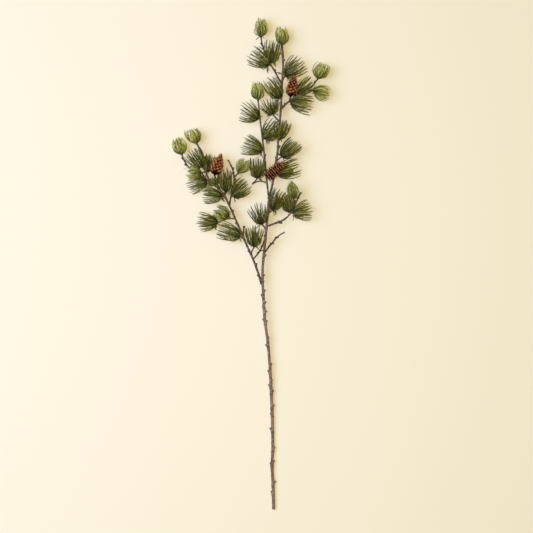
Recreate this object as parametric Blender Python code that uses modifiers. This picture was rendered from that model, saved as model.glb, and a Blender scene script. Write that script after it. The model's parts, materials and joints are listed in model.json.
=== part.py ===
"""A larch sprig, cut and laid flat: bark twigs, needle tufts and three cones.

Run with: blender --background --python part.py

Metres, +Z up. The sprig lies along Y on the plane z = 0, its cut end towards -Y.
The origin is the middle of its bounding box, on the plane that it rests on.
Places are drawn in millimetres on a sheet whose zero is the centre of the cut end,
with X across the sprig and Y up it, and are scaled to the sprig's real length.
"""

import math
from collections import namedtuple

import bmesh
import bpy
import numpy as np
from mathutils import Matrix, Vector
from mathutils.bvhtree import BVHTree
from mathutils.geometry import intersect_point_line

# ------------------------------------------------------------------ driving dimensions

SPRIG_LENGTH = 0.840        # from the cut end to the tip of the topmost tuft
DRAWN_LENGTH = 840.0        # the same length on the sheet
UNIT = SPRIG_LENGTH / DRAWN_LENGTH

GAP = 0.0003                # clearance between pieces that touch
CLEARANCE = 0.00042         # how far a clearance solid stands off its piece
FLAT_ALLOWANCE = 1.3        # how much more the flats of a peg's clearance solid stand off
WELD = 0.00001              # points nearer than this are one point
SLIVER = 0.00004            # edges shorter than this are closed up after a trim
TOUCH = 0.00005             # a tuft that sinks less than this needs no flat underneath

TUBE_STEP = 7.0             # spacing of a twig's rings, in twig radii
STOUT_TWIG = 2.1            # twigs thicker than this at the base have rounder tubes
PEG_RADIUS = 1.25           # short woody pegs that carry tufts and cones
PEG_TAPER = 0.85
PEG_SIDES = 5
SHORTEST_PEG = 1.6          # a tuft nearer the bark than this sits on it with no peg
PEG_LIFT = 0.3              # how much of its tuft's lift a peg has
SPIKE_RADIUS, SPIKE_TIP_RADIUS = 1.35, 1.1
NUB_LENGTHS = (1.75, 2.0, 2.3)            # bud scars that stand off the bark, in turn
NUB_ROLLS = (0.55, 0.1, 0.9, 0.3)         # how far they turn up from the sheet, in turn
NUB_SLANT = math.radians(38)
NUB_SIDES = 4
NUB_ROOM = 0.003            # how far bud scars keep off the needles

TUFT_SIDES = 8
TUFT_FLATNESS = 0.86        # a tuft's height against its width
TUFT_CORE = 0.8             # share of a tuft's reach that its axis is taken to have
PLANE_MARGIN = 0.0012       # room that two axes keep to the plane that parts their tufts
CONE_SIDES = 10
CONE_ROWS = 7
SCALE_LIP, SCALE_TOP, SCALE_ROOT = 0.65, 0.88, 0.04     # heights in a row of scales
SCALE_STEP = 0.86           # a row's width at its root, against the outline
SHARP_EDGE = math.radians(50)

RIGHT, LEFT = 1, -1

# ------------------------------------------------------------------------------ tables

Twig = namedtuple("Twig", "name route base tip grows_from nubs pegs", defaults=((), (), ()))
Tuft = namedtuple("Tuft", "on base heading lift reach half_width foot", defaults=(None,))
Cone = namedtuple("Cone", "name on foot stem tip half_width outline")

# A route is a list of (x, y, z). Nubs are (share of the way up, side).
# Pegs are (foot, end) pairs for bare spikes.
TWIGS = (
    Twig(
        "main_stem",
        ((0, 0, 2.75), (-0.4, 30, 2.8), (-1.6, 55, 2.8), (-2.9, 76, 2.8), (-1.4, 103, 2.9),
         (-2, 154, 3.6), (-3.6, 190, 4.6), (-4.8, 223, 5.8), (-7, 257, 7.2), (-10, 291, 8.6),
         (-14.6, 325, 10), (-17, 360, 11.4), (-18.7, 392, 12.8)),
        2.75, 2.45,
        nubs=((0.075, LEFT), (0.118, RIGHT), (0.198, LEFT), (0.21, RIGHT), (0.267, RIGHT),
              (0.35, LEFT), (0.417, LEFT), (0.452, RIGHT), (0.515, RIGHT), (0.542, LEFT),
              (0.562, RIGHT), (0.603, LEFT), (0.634, RIGHT), (0.718, LEFT), (0.748, RIGHT),
              (0.822, RIGHT), (0.83, LEFT), (0.864, RIGHT), (0.886, LEFT), (0.905, RIGHT),
              (0.936, LEFT), (0.957, RIGHT)),
    ),
    Twig(
        "crown_stem",
        ((-18.7, 392.7, 12.8), (-18.7, 414, 13.4), (-15.6, 445, 14.4), (-12, 483, 15.4),
         (-10, 507, 15.6), (-7.6, 535, 15.2)),
        2.4, 2.3,
        nubs=((0.06, RIGHT), (0.3, RIGHT), (0.53, LEFT), (0.86, RIGHT)),
    ),
    Twig(
        "right_leader",
        ((-7.6, 535.7, 15.2), (-3.6, 548, 14.8), (-0.7, 563, 14.2), (2.7, 590, 14.2),
         (6.2, 604, 15.2), (7.9, 622, 16.2), (7.6, 636, 16.4), (10.4, 659, 16.6), (12.2, 682, 16.8),
         (13.9, 707, 16.8), (14.8, 733, 16.8), (16.4, 760, 16.4), (16.4, 779, 15.6),
         (14.9, 796, 14.8)),
        2.3, 1.75,
        nubs=((0.26, LEFT), (0.335, RIGHT), (0.47, LEFT), (0.6, RIGHT), (0.72, RIGHT),
              (0.83, LEFT), (0.9, RIGHT), (0.94, LEFT)),
    ),
    Twig(
        "inner_leader",
        ((-7.2, 538.4, 15), (-9.8, 548, 15), (-11.2, 560, 14.4), (-12, 573, 14.2), (-13.5, 586, 14.4),
         (-15.2, 604, 15.6), (-17, 620, 16.6), (-18.7, 635, 17), (-21.2, 654, 17), (-22.9, 671, 16.8),
         (-24.7, 687, 16.2), (-26.4, 702, 15.2)),
        2.0, 1.55,
        grows_from=("right_leader", "crown_stem"),
        nubs=((0.3, LEFT), (0.42, RIGHT), (0.6, LEFT), (0.68, RIGHT), (0.92, RIGHT)),
    ),
    Twig(
        "left_bough",
        ((-19, 386, 12.6), (-23, 398.5, 13.2), (-31.3, 419.6, 14), (-36.6, 435, 14.6),
         (-46.2, 454, 15.4), (-52.9, 471, 16), (-61.5, 490, 16.2), (-70, 510, 16.2),
         (-78.6, 527.5, 16), (-85.5, 543, 15.8), (-94.9, 551.4, 15.6), (-103.4, 558.3, 15.4),
         (-112, 565.5, 15.2), (-115.4, 579, 15.2), (-119.7, 599.4, 15.2), (-124, 613, 14.8),
         (-130.8, 627, 14)),
        2.2, 1.6,
        grows_from=("main_stem", "crown_stem"),
        nubs=((0.06, LEFT), (0.13, RIGHT), (0.225, LEFT), (0.42, LEFT), (0.5, RIGHT),
              (0.9, RIGHT), (0.95, LEFT)),
        pegs=(((-52.4, 471, 16.2), (-50.3, 486, 18.5)),),
    ),
    Twig(
        "left_inner_twig",
        ((-77, 523, 16.4), (-74, 531, 18), (-70.9, 545, 19), (-66.4, 566, 19.4), (-69, 582, 19),
         (-72.6, 592, 18.6), (-77.7, 599.4, 18.2)),
        1.8, 1.4,
        grows_from=("left_bough",),
        nubs=((0.55, RIGHT), (0.68, LEFT), (0.78, RIGHT), (0.86, LEFT)),
    ),
    Twig(
        "outer_left_twig",
        ((-113.6, 565, 15.4), (-120, 570.6, 16), (-127.4, 575.4, 16), (-137.7, 580.5, 15.6),
         (-146.2, 587.4, 15.2), (-151, 594, 14.8), (-154.8, 601, 14.4), (-156.6, 608, 14)),
        1.7, 1.4,
        grows_from=("left_bough",),
        nubs=((0.72, LEFT), (0.8, RIGHT), (0.9, LEFT)),
    ),
    Twig(
        "left_cone_stalk",
        ((-93.6, 550.6, 16), (-96, 557, 18), (-98.4, 564, 20), (-100.6, 572.6, 21.2)),
        1.55, 1.35,
        grows_from=("left_bough",),
    ),
    Twig(
        "lower_left_twig",
        ((-65, 499, 16.2), (-70, 500.8, 15.8), (-76, 500.6, 15.4), (-84.6, 497, 14.8),
         (-93, 493.4, 14.2)),
        1.6, 1.35,
        grows_from=("left_bough",),
        nubs=((0.5, LEFT),),
    ),
    Twig(
        "cross_twig",
        ((-33.4, 430.5, 14.6), (-28.1, 437, 16.6), (-21.7, 444, 18.6), (-19.3, 451, 19.2),
         (-16.1, 461, 19.4)),
        1.6, 1.3,
        grows_from=("left_bough",),
        nubs=((0.33, LEFT), (0.55, RIGHT), (0.7, LEFT)),
    ),
    Twig(
        "bare_right_twig",
        ((-15.4, 442, 14.6), (-10.4, 448.3, 15.2), (-5.1, 454.2, 15.8), (-0.7, 459.8, 16.2),
         (4.5, 466, 16.4), (11.3, 473.5, 16.4), (16.2, 477.2, 16.2), (19, 475.8, 16)),
        1.7, 1.35,
        grows_from=("crown_stem",),
        nubs=((0.34, LEFT), (0.4, RIGHT), (0.6, LEFT), (0.66, RIGHT)),
    ),
    Twig(
        "right_twig",
        ((-11.8, 486.5, 15.4), (-2.4, 489.8, 16), (7.9, 492.3, 16.4), (18.2, 496.6, 16.6),
         (26.7, 503.5, 16.8), (31.9, 512, 16.8), (37, 522.3, 16.8), (40.4, 532.6, 16.8),
         (43.8, 538.6, 16.6), (47.3, 544, 16.4)),
        1.85, 1.4,
        grows_from=("crown_stem",),
        nubs=((0.24, LEFT), (0.28, RIGHT), (0.38, LEFT), (0.8, LEFT), (0.87, RIGHT)),
    ),
    Twig(
        "bare_left_twig",
        ((-10.6, 560.5, 14.4), (-16.1, 563.4, 14.8), (-22.9, 564.4, 15.2), (-29.8, 563.4, 15.4),
         (-35, 559, 15.2)),
        1.55, 1.3,
        grows_from=("inner_leader",),
        nubs=((0.3, RIGHT), (0.75, LEFT)),
    ),
    Twig(
        "upper_left_twig",
        ((15, 731, 16.8), (6.2, 743.2, 17.2), (1, 753.5, 17.4), (-4.1, 762, 17.2), (-9.2, 769, 16.8),
         (-12.7, 776, 16.4), (-15.2, 784.3, 16), (-17.8, 791.5, 15.6), (-20.8, 802, 14.8),
         (-21.2, 810, 14.2)),
        1.75, 1.5,
        grows_from=("right_leader",),
        nubs=((0.28, RIGHT), (0.78, RIGHT), (0.86, LEFT)),
    ),
    Twig(
        "upper_right_twig",
        ((12.4, 685.5, 16.8), (18.2, 692.5, 17.2), (25, 698.7, 17.4), (33, 705, 17.2),
         (42.1, 710.7, 17), (54.1, 717.5, 16.6), (64.4, 724.4, 16), (71, 730.5, 15.4),
         (75.5, 738, 14.8)),
        1.8, 1.4,
        grows_from=("right_leader",),
        nubs=((0.14, LEFT), (0.84, RIGHT), (0.92, LEFT)),
    ),
)

# Dark, full-grown tufts, from the top of the sprig down. Heading is the way that a
# tuft points, in degrees from +X; lift is how far it tips up from the plane.
NEEDLE_TUFTS = (
    Tuft("upper_left_twig", (-6.7, 762), 150, 2, 40, 17),
    Tuft("upper_left_twig", (-4.2, 765.5), 83, 8, 38, 14),
    Tuft("right_leader", (19.6, 742.4), 42, -4, 40, 17),
    Tuft("right_leader", (11.4, 705), 125, 16, 40, 15.5),
    Tuft("upper_right_twig", (39.6, 713), 45, 14, 36, 15.5, (34, 706)),
    Tuft("upper_right_twig", (28.6, 698.5), 352, -6, 39, 15),
    Tuft("right_leader", (-0.7, 676.4), 106, 6, 31, 16.6, (9.8, 664)),
    Tuft("inner_leader", (-25, 669.6), 150, -4, 38, 18),
    Tuft("inner_leader", (-16.4, 635.5), 43, 18, 40, 18),
    Tuft("right_leader", (10.4, 634), 80, -12, 35, 14),
    Tuft("inner_leader", (-18.7, 615.5), 160, 2, 38, 16),
    Tuft("right_leader", (13, 604.5), 44, 6, 37.5, 14, (6.4, 597.5)),
    Tuft("bare_left_twig", (-28.1, 567.5), 88, 6, 36, 14),
    Tuft("right_leader", (4.6, 576), 20, -12, 42, 16),
    Tuft("left_bough", (-121, 586), 127, 8, 38, 15),
    Tuft("left_bough", (-114.2, 574.6), 81, -12, 35, 10.8),
    Tuft("left_bough", (-114, 563.8), 197, -10, 35, 14.5),
    Tuft("left_bough", (-86.6, 537), 176, -6, 36, 14),
    Tuft("left_bough", (-85.6, 543.5), 130, 4, 34, 13),
    Tuft("left_bough", (-80.6, 545), 94, 12, 38, 12, (-84, 540)),
    Tuft("left_inner_twig", (-71.6, 536), 42, -4, 38, 15.5),
    Tuft("lower_left_twig", (-95, 492.8), 180, -8, 37, 15.5),
    Tuft("left_bough", (-56.3, 468.4), 160, -4, 40, 14.5),
    Tuft("left_bough", (-33.4, 450.4), 90, 0, 36, 15.5, (-38, 439)),
    Tuft("crown_stem", (-19, 489), 104, 10, 37, 17, (-11.8, 481)),
    Tuft("crown_stem", (-2.6, 513.4), 63, 0, 38, 16, (-9.4, 507)),
    Tuft("right_twig", (28.4, 509), 107, -8, 33, 12),
    Tuft("right_twig", (33, 508.5), 11, -6, 35, 16),
)

# Pale, half-open tufts at the ends of twigs.
YOUNG_TUFTS = (
    Tuft("upper_left_twig", (-21.2, 810.5), 90, -2, 30, 12.2),
    Tuft("right_leader", (14.7, 796.5), 90, -2, 29, 12.4),
    Tuft("upper_right_twig", (75.8, 738.5), 70, -4, 28, 13.4),
    Tuft("upper_right_twig", (67.8, 717.5), 348, -4, 28, 12.8, (59.5, 719)),
    Tuft("inner_leader", (-26.5, 702.6), 93, -2, 29, 11.8),
    Tuft("left_inner_twig", (-60.6, 577), 60, -6, 26, 11.8, (-66.4, 570)),
    Tuft("outer_left_twig", (-156.8, 608.6), 107, -2, 29, 12.2),
    Tuft("left_bough", (-131.2, 627.6), 111, -2, 27, 12.6),
    Tuft("outer_left_twig", (-122, 577.4), 179, 24, 28, 12.4),
    Tuft("lower_left_twig", (-76, 502.4), 153, 20, 28, 12.6),
    Tuft("right_twig", (34.6, 532.4), 98, 16, 30, 9.8, (35.6, 524)),
)

# A cone's outline is its half-width, as a share of the widest, up its length.
CLOSED_OUTLINE = ((0, 0.5), (0.1, 0.84), (0.35, 1.0), (0.6, 0.84), (0.85, 0.42), (1.0, 0.1))
OPEN_OUTLINE = ((0, 0.6), (0.12, 0.9), (0.38, 1.0), (0.7, 0.9), (0.9, 0.62), (1.0, 0.3))

CONES = (
    Cone("left_cone", "left_cone_stalk", None, (-100.9, 574.2, 21.6), (-88.9, 610.5, 19), 10.4,
         CLOSED_OUTLINE),
    Cone("middle_cone", "inner_leader", (-11.8, 570), (-10.6, 569, 24), (18, 594, 28.6), 9.9,
         OPEN_OUTLINE),
    Cone("upper_cone", "upper_right_twig", (27.5, 700.6), (29.6, 708.4, 21.2), (35.4, 744.2, 25.4),
         9, CLOSED_OUTLINE),
)

# ------------------------------------------------------------------------- small tools


def vec(point):
    """A point on the sheet, in metres."""
    return Vector(point) * UNIT


def finished_mesh(bm, name):
    """Close a bmesh into a mesh with its faces pointing out."""
    bmesh.ops.recalc_face_normals(bm, faces=bm.faces)
    mesh = bpy.data.meshes.new(name)
    bm.to_mesh(mesh)
    bm.free()
    return mesh


def evaluated_mesh(obj):
    """The mesh that an object's curve or modifiers make, its loose caps welded."""
    depsgraph = bpy.context.evaluated_depsgraph_get()
    mesh = bpy.data.meshes.new_from_object(obj.evaluated_get(depsgraph))
    bm = bmesh.new()
    bm.from_mesh(mesh)
    bm.transform(obj.matrix_world)
    bmesh.ops.remove_doubles(bm, verts=bm.verts, dist=WELD)
    bpy.data.meshes.remove(mesh)
    return finished_mesh(bm, obj.name)


def turned_mesh(name, profile, sides):
    """Turn a profile of (radius, height), listed from the top down, about Z."""
    mesh = bpy.data.meshes.new(name)
    count = len(profile)
    mesh.from_pydata([(r, 0, h) for r, h in profile], [(i, i + 1) for i in range(count - 1)], [])
    obj = bpy.data.objects.new(name, mesh)
    bpy.context.scene.collection.objects.link(obj)
    screw = obj.modifiers.new("turn", "SCREW")
    screw.steps = sides
    screw.render_steps = sides
    screw.use_merge_vertices = True
    screw.merge_threshold = WELD
    turned = evaluated_mesh(obj)
    bpy.data.objects.remove(obj)
    bpy.data.meshes.remove(mesh)
    return turned


def swollen(mesh, distance):
    """A copy of a mesh that stands off it by a distance all over."""
    bm = bmesh.new()
    bm.from_mesh(mesh)
    bm.normal_update()
    shifts = [v.normal * distance * v.calc_shell_factor() for v in bm.verts]
    for v, shift in zip(bm.verts, shifts):
        v.co += shift
    return finished_mesh(bm, mesh.name + "_clearance")


def surface_tree(mesh):
    """A search tree over a mesh's faces."""
    return BVHTree.FromPolygons([v.co for v in mesh.vertices], [p.vertices for p in mesh.polygons])


def add_object(name, mesh, collection):
    """Link a mesh as an object."""
    obj = bpy.data.objects.new(name, mesh)
    collection.objects.link(obj)
    return obj


def dress(obj, finish):
    """Give an object one material, and shade it smooth but for its sharp edges."""
    obj.data.materials.clear()
    obj.data.materials.append(finish)
    obj.data.shade_smooth()
    obj.data.set_sharp_from_angle(angle=SHARP_EDGE)


def add_cutter(name, mesh, cutters):
    """Link a mesh as a guide that only Booleans read."""
    obj = add_object(name, mesh, cutters)
    obj.hide_render = True
    obj.display_type = "WIRE"
    return obj


def add_boolean(obj, cutter, operation):
    """Join a cutter to an object, or take it away."""
    modifier = obj.modifiers.new(cutter.name[:40], "BOOLEAN")
    modifier.operation = operation
    modifier.solver = "EXACT"
    modifier.use_self = True
    modifier.object = cutter


def material(name, colour, roughness):
    """A plain Principled material."""
    made = bpy.data.materials.new(name)
    made.use_nodes = True
    shader = made.node_tree.nodes["Principled BSDF"]
    shader.inputs["Base Color"].default_value = (*colour, 1)
    shader.inputs["Roughness"].default_value = roughness
    shader.inputs["Metallic"].default_value = 0
    return made


# ------------------------------------------------------------------------------- twigs


def curve_through(points, per_span=12):
    """A smooth line through points, by Catmull-Rom, as an array of close points."""
    pts = np.array([vec(p) for p in points])
    pts = np.vstack([2 * pts[0] - pts[1], pts, 2 * pts[-1] - pts[-2]])
    out = []
    for a, b, c, d in zip(pts, pts[1:], pts[2:], pts[3:]):
        for t in np.arange(per_span) / per_span:
            out.append(
                0.5 * (2 * b + (c - a) * t + (2 * a - 5 * b + 4 * c - d) * t**2
                       + (3 * b - a - 3 * c + d) * t**3)
            )
    out.append(pts[-2])
    return np.array(out)


class Centreline:
    """A twig's smooth centre line, read by its length."""

    def __init__(self, twig, parent=None):
        route = list(twig.route)
        if parent:
            x, y, _ = vec(route[0])
            route[0] = tuple(parent.at(parent.nearest(x, y)) / UNIT)
        self.points = curve_through(route)
        steps = np.linalg.norm(np.diff(self.points, axis=0), axis=1)
        self.along = np.concatenate([[0], np.cumsum(steps)])
        self.length = self.along[-1]
        self.base, self.tip = twig.base * UNIT, twig.tip * UNIT

    def at(self, share):
        """The point a share of the way up."""
        s = share * self.length
        return Vector([np.interp(s, self.along, self.points[:, i]) for i in range(3)])

    def radius(self, share):
        """The twig's radius there."""
        return self.base + (self.tip - self.base) * share

    def way(self, share):
        """The direction that the twig grows in there."""
        return (self.at(min(share + 0.02, 1)) - self.at(max(share - 0.02, 0))).normalized()

    def nearest(self, x, y):
        """The share at which the line passes nearest to a place seen from above."""
        distance = np.hypot(self.points[:, 0] - x, self.points[:, 1] - y)
        return self.along[int(np.argmin(distance))] / self.length


def tube_mesh(twig, line, swell):
    """A twig's tapered tube: a poly curve with a bevel, turned into a mesh.

    A swell makes it that much thicker and longer all round.
    """
    count = max(4, round(line.length / (TUBE_STEP * line.base)) + 1)
    curve = bpy.data.curves.new(twig.name, "CURVE")
    curve.dimensions = "3D"
    curve.bevel_depth = line.base
    curve.bevel_resolution = 2 if twig.base > STOUT_TWIG else 1
    curve.use_fill_caps = True
    spline = curve.splines.new("POLY")
    spline.points.add(count - 1)
    for i, point in enumerate(spline.points):
        share = i / (count - 1)
        overrun = {0: -swell, count - 1: swell}.get(i, 0)
        point.co = (*(line.at(share) + line.way(share) * overrun), 1)
        point.radius = (line.radius(share) + swell) / line.base
    obj = bpy.data.objects.new(twig.name, curve)
    bpy.context.scene.collection.objects.link(obj)
    mesh = evaluated_mesh(obj)
    bpy.data.objects.remove(obj)
    return mesh


def add_peg(bm, foot, end, foot_radius, end_radius, swell, sides=PEG_SIDES):
    """Add a tapered peg from foot to end. A swell makes it thicker and longer."""
    end = end + (end - foot).normalized() * swell
    way = end - foot
    foot_radius += swell * FLAT_ALLOWANCE
    end_radius += swell * FLAT_ALLOWANCE
    turn = way.to_track_quat("Z", "Y").to_matrix().to_4x4()
    bmesh.ops.create_cone(
        bm, cap_ends=True, segments=sides, radius1=foot_radius, radius2=end_radius,
        depth=way.length, matrix=Matrix.Translation((foot + end) / 2) @ turn,
    )


def add_nub(bm, line, share, side, number, swell):
    """Add a bud scar: a small peg that leans up the twig."""
    way = line.way(share)
    across = way.cross(Vector((0, 0, 1))).normalized() * side
    roll = NUB_ROLLS[number % len(NUB_ROLLS)]
    across = (across * math.cos(roll) + Vector((0, 0, 1)) * math.sin(roll)).normalized()
    out = across * math.cos(NUB_SLANT) + way * math.sin(NUB_SLANT)
    radius = line.radius(share)
    foot = line.at(share) + across * 0.45 * radius
    length = 0.7 * radius + NUB_LENGTHS[number % len(NUB_LENGTHS)] * UNIT
    add_peg(bm, foot, foot + out * length, 0.62 * radius, 0.42 * radius, swell, NUB_SIDES)


def peg_for(row, line, end):
    """Where the peg of a tuft or cone starts and ends, or None if it needs none."""
    share = line.nearest(end.x, end.y) if row.foot is None else line.nearest(*vec(row.foot))
    foot = line.at(share)
    reach = end - foot
    if reach.length < line.radius(share) + SHORTEST_PEG * UNIT:
        return None
    return foot, end - reach.normalized() * GAP


def tuft_base(row, line):
    """A tuft's starting point in space: level with its twig where it leaves it."""
    x, y = vec(row.base)
    share = line.nearest(x, y) if row.foot is None else line.nearest(*vec(row.foot))
    lift = math.tan(math.radians(row.lift)) * PEG_LIFT
    foot = line.at(share)
    return Vector((x, y, foot.z + lift * math.hypot(x - foot.x, y - foot.y)))


# ------------------------------------------------------------------- tufts and cones


def heading_matrix(base, heading, lift):
    """A frame at a base whose Z points along a heading and whose Y is nearly upright."""
    turn = Matrix.Rotation(math.radians(heading), 4, "Z") @ Matrix.Rotation(
        math.radians(-lift), 4, "Y"
    )
    lay_down = Matrix(((0, 0, 1, 0), (1, 0, 0, 0), (0, 1, 0, 0), (0, 0, 0, 1)))
    return Matrix.Translation(base) @ turn @ lay_down


# A tuft is cup-shaped: (share of half-width, share of reach), from its tips down.
CUP = ((0, 1.0), (0.66, 0.95), (1.0, 0.68), (0.86, 0.32), (0.44, 0.075), (0.08, 0), (0, 0))


def tuft_mesh(name, row, base):
    """The closed outer form of a tuft, which reaches its needles' tips."""
    profile = [(w * row.half_width * UNIT, h * row.reach * UNIT) for w, h in CUP]
    mesh = turned_mesh(name, profile, TUFT_SIDES)
    mesh.transform(Matrix.Diagonal((1, TUFT_FLATNESS, 1, 1)))
    mesh.transform(heading_matrix(base, row.heading, row.lift))
    return mesh


def cone_mesh(row):
    """A cone as stepped rings, one for each row of scales."""
    stem, tip = vec(row.stem), vec(row.tip)
    length = (tip - stem).length
    shares, widths = zip(*row.outline)
    profile = [(0, length)]
    for k in reversed(range(CONE_ROWS)):
        lip, top, root = ((k + part) / CONE_ROWS for part in (SCALE_LIP, SCALE_TOP, SCALE_ROOT))
        lip_radius = np.interp(lip, shares, widths) * row.half_width * UNIT
        root_radius = np.interp(k / CONE_ROWS, shares, widths) * row.half_width * UNIT * SCALE_STEP
        profile += [(lip_radius, top * length), (root_radius, root * length)]
    profile.append((0, SCALE_ROOT / CONE_ROWS * length))
    mesh = turned_mesh(row.name, profile, CONE_SIDES)
    turn = (tip - stem).to_track_quat("Z", "Y").to_matrix().to_4x4()
    mesh.transform(Matrix.Translation(stem) @ turn)
    return mesh


def axis_ends(base, row):
    """The two ends of a tuft's axis, short of its tips."""
    way = heading_matrix(Vector(), row.heading, row.lift).to_3x3() @ Vector((0, 0, 1))
    return base, base + way * row.reach * UNIT * TUFT_CORE


def closest_between(a, b, c, d):
    """The closest points of segments a-b and c-d, by stepping to and fro."""
    p = (a + b) / 2
    for _ in range(40):
        q, t = intersect_point_line(p, c, d)
        q = c if t < 0 else d if t > 1 else q
        p, t = intersect_point_line(q, a, b)
        p = a if t < 0 else b if t > 1 else p
    return p, q


def dividing_plane(first, second):
    """A plane between two tufts' axes: a point on it and its normal, towards the second."""
    (a, b), (c, d) = first, second
    middle = (a + c) / 2
    normal = ((d - c).normalized() - (b - a).normalized()).normalized()
    fits = all((p - middle).dot(normal) < -PLANE_MARGIN for p in (a, b)) and all(
        (p - middle).dot(normal) > PLANE_MARGIN for p in (c, d)
    )
    if fits:
        return middle, normal
    p, q = closest_between(a, b, c, d)
    return (p + q) / 2, (q - p).normalized()


def trim(mesh, point, normal):
    """Cut off the side of a closed convex mesh that a normal points to, and close it."""
    bm = bmesh.new()
    bm.from_mesh(mesh)
    geometry = bm.verts[:] + bm.edges[:] + bm.faces[:]
    cut = bmesh.ops.bisect_plane(
        bm, geom=geometry, dist=WELD, plane_co=point, plane_no=normal, clear_outer=True
    )
    rim = [e for e in cut["geom_cut"] if isinstance(e, bmesh.types.BMEdge)]
    if rim:
        bmesh.ops.holes_fill(bm, edges=[e for e in bm.edges if e.is_boundary], sides=0)
    bmesh.ops.remove_doubles(bm, verts=bm.verts, dist=SLIVER)
    bmesh.ops.recalc_face_normals(bm, faces=bm.faces)
    bm.to_mesh(mesh)
    bm.free()


def part_neighbours(tufts):
    """Trim each pair of tufts that overlap to their own sides of a plane."""
    names = list(tufts)
    for i, first in enumerate(names):
        for second in names[i + 1:]:
            one, two = tufts[first], tufts[second]
            if not surface_tree(one["mesh"]).overlap(surface_tree(two["mesh"])):
                continue
            point, normal = dividing_plane(one["axis"], two["axis"])
            trim(one["mesh"], point - normal * GAP / 2, normal)
            trim(two["mesh"], point + normal * GAP / 2, -normal)


# ------------------------------------------------------------------------------- build


def covered(point, tufts):
    """Whether a point lies in one of the tufts, which are convex, or close to it."""
    return any(
        all((point - face.center).dot(face.normal) < NUB_ROOM for face in tuft["mesh"].polygons)
        for tuft in tufts.values()
    )


def growths_mesh(twig, line, pegs, swell):
    """The pegs, spikes and bud scars of a twig, or None if it is bare."""
    bm = bmesh.new()
    for number, (share, side) in enumerate(twig.nubs):
        add_nub(bm, line, share, side, number, swell)
    for foot, end in twig.pegs:
        add_peg(bm, vec(foot), vec(end), SPIKE_RADIUS * UNIT, SPIKE_TIP_RADIUS * UNIT, swell)
    for foot, end in pegs:
        add_peg(bm, foot, end, PEG_RADIUS * UNIT, PEG_TAPER * PEG_RADIUS * UNIT, swell)
    if bm.faces:
        return finished_mesh(bm, twig.name + "_growths")
    bm.free()
    return None


def add_twig(name, twig, line, pegs, swell, collection, cutters):
    """Add a twig's tube as an object, its growths joined to it by a Boolean."""
    obj = add_object(name, tube_mesh(twig, line, swell), collection)
    growths = growths_mesh(twig, line, pegs, swell)
    if growths:
        add_boolean(obj, add_cutter(name + "_growths", growths, cutters), "UNION")
    return obj


def bare_nubs_only(lines, tufts):
    """The twigs with only those bud scars that stand on bare bark."""
    return [
        twig._replace(nubs=[
            (share, side) for share, side in twig.nubs
            if not covered(lines[twig.name].at(share), tufts)
        ])
        for twig in TWIGS
    ]


def build_twigs(twigs, lines, pegs, sprig, cutters, bark):
    """Make every twig, and return the clearance solid of each."""
    clearances = {}
    for twig in twigs:
        line, own_pegs = lines[twig.name], pegs.get(twig.name, ())
        guard = twig.name + "_clearance"
        clearances[twig.name] = add_twig(guard, twig, line, own_pegs, CLEARANCE, cutters, cutters)
        clearances[twig.name].hide_render = True
        clearances[twig.name].display_type = "WIRE"
        obj = add_twig(twig.name, twig, line, own_pegs, 0, sprig, cutters)
        dress(obj, bark)
        for parent in twig.grows_from:
            add_boolean(obj, clearances[parent], "DIFFERENCE")
    return clearances


def settle(mesh, floor):
    """Press the part of a mesh that would sink below the floor flat onto it."""
    lowest = min(v.co.z for v in mesh.vertices)
    if lowest < floor - TOUCH:
        trim(mesh, Vector((0, 0, floor)), Vector((0, 0, -1)))


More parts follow.
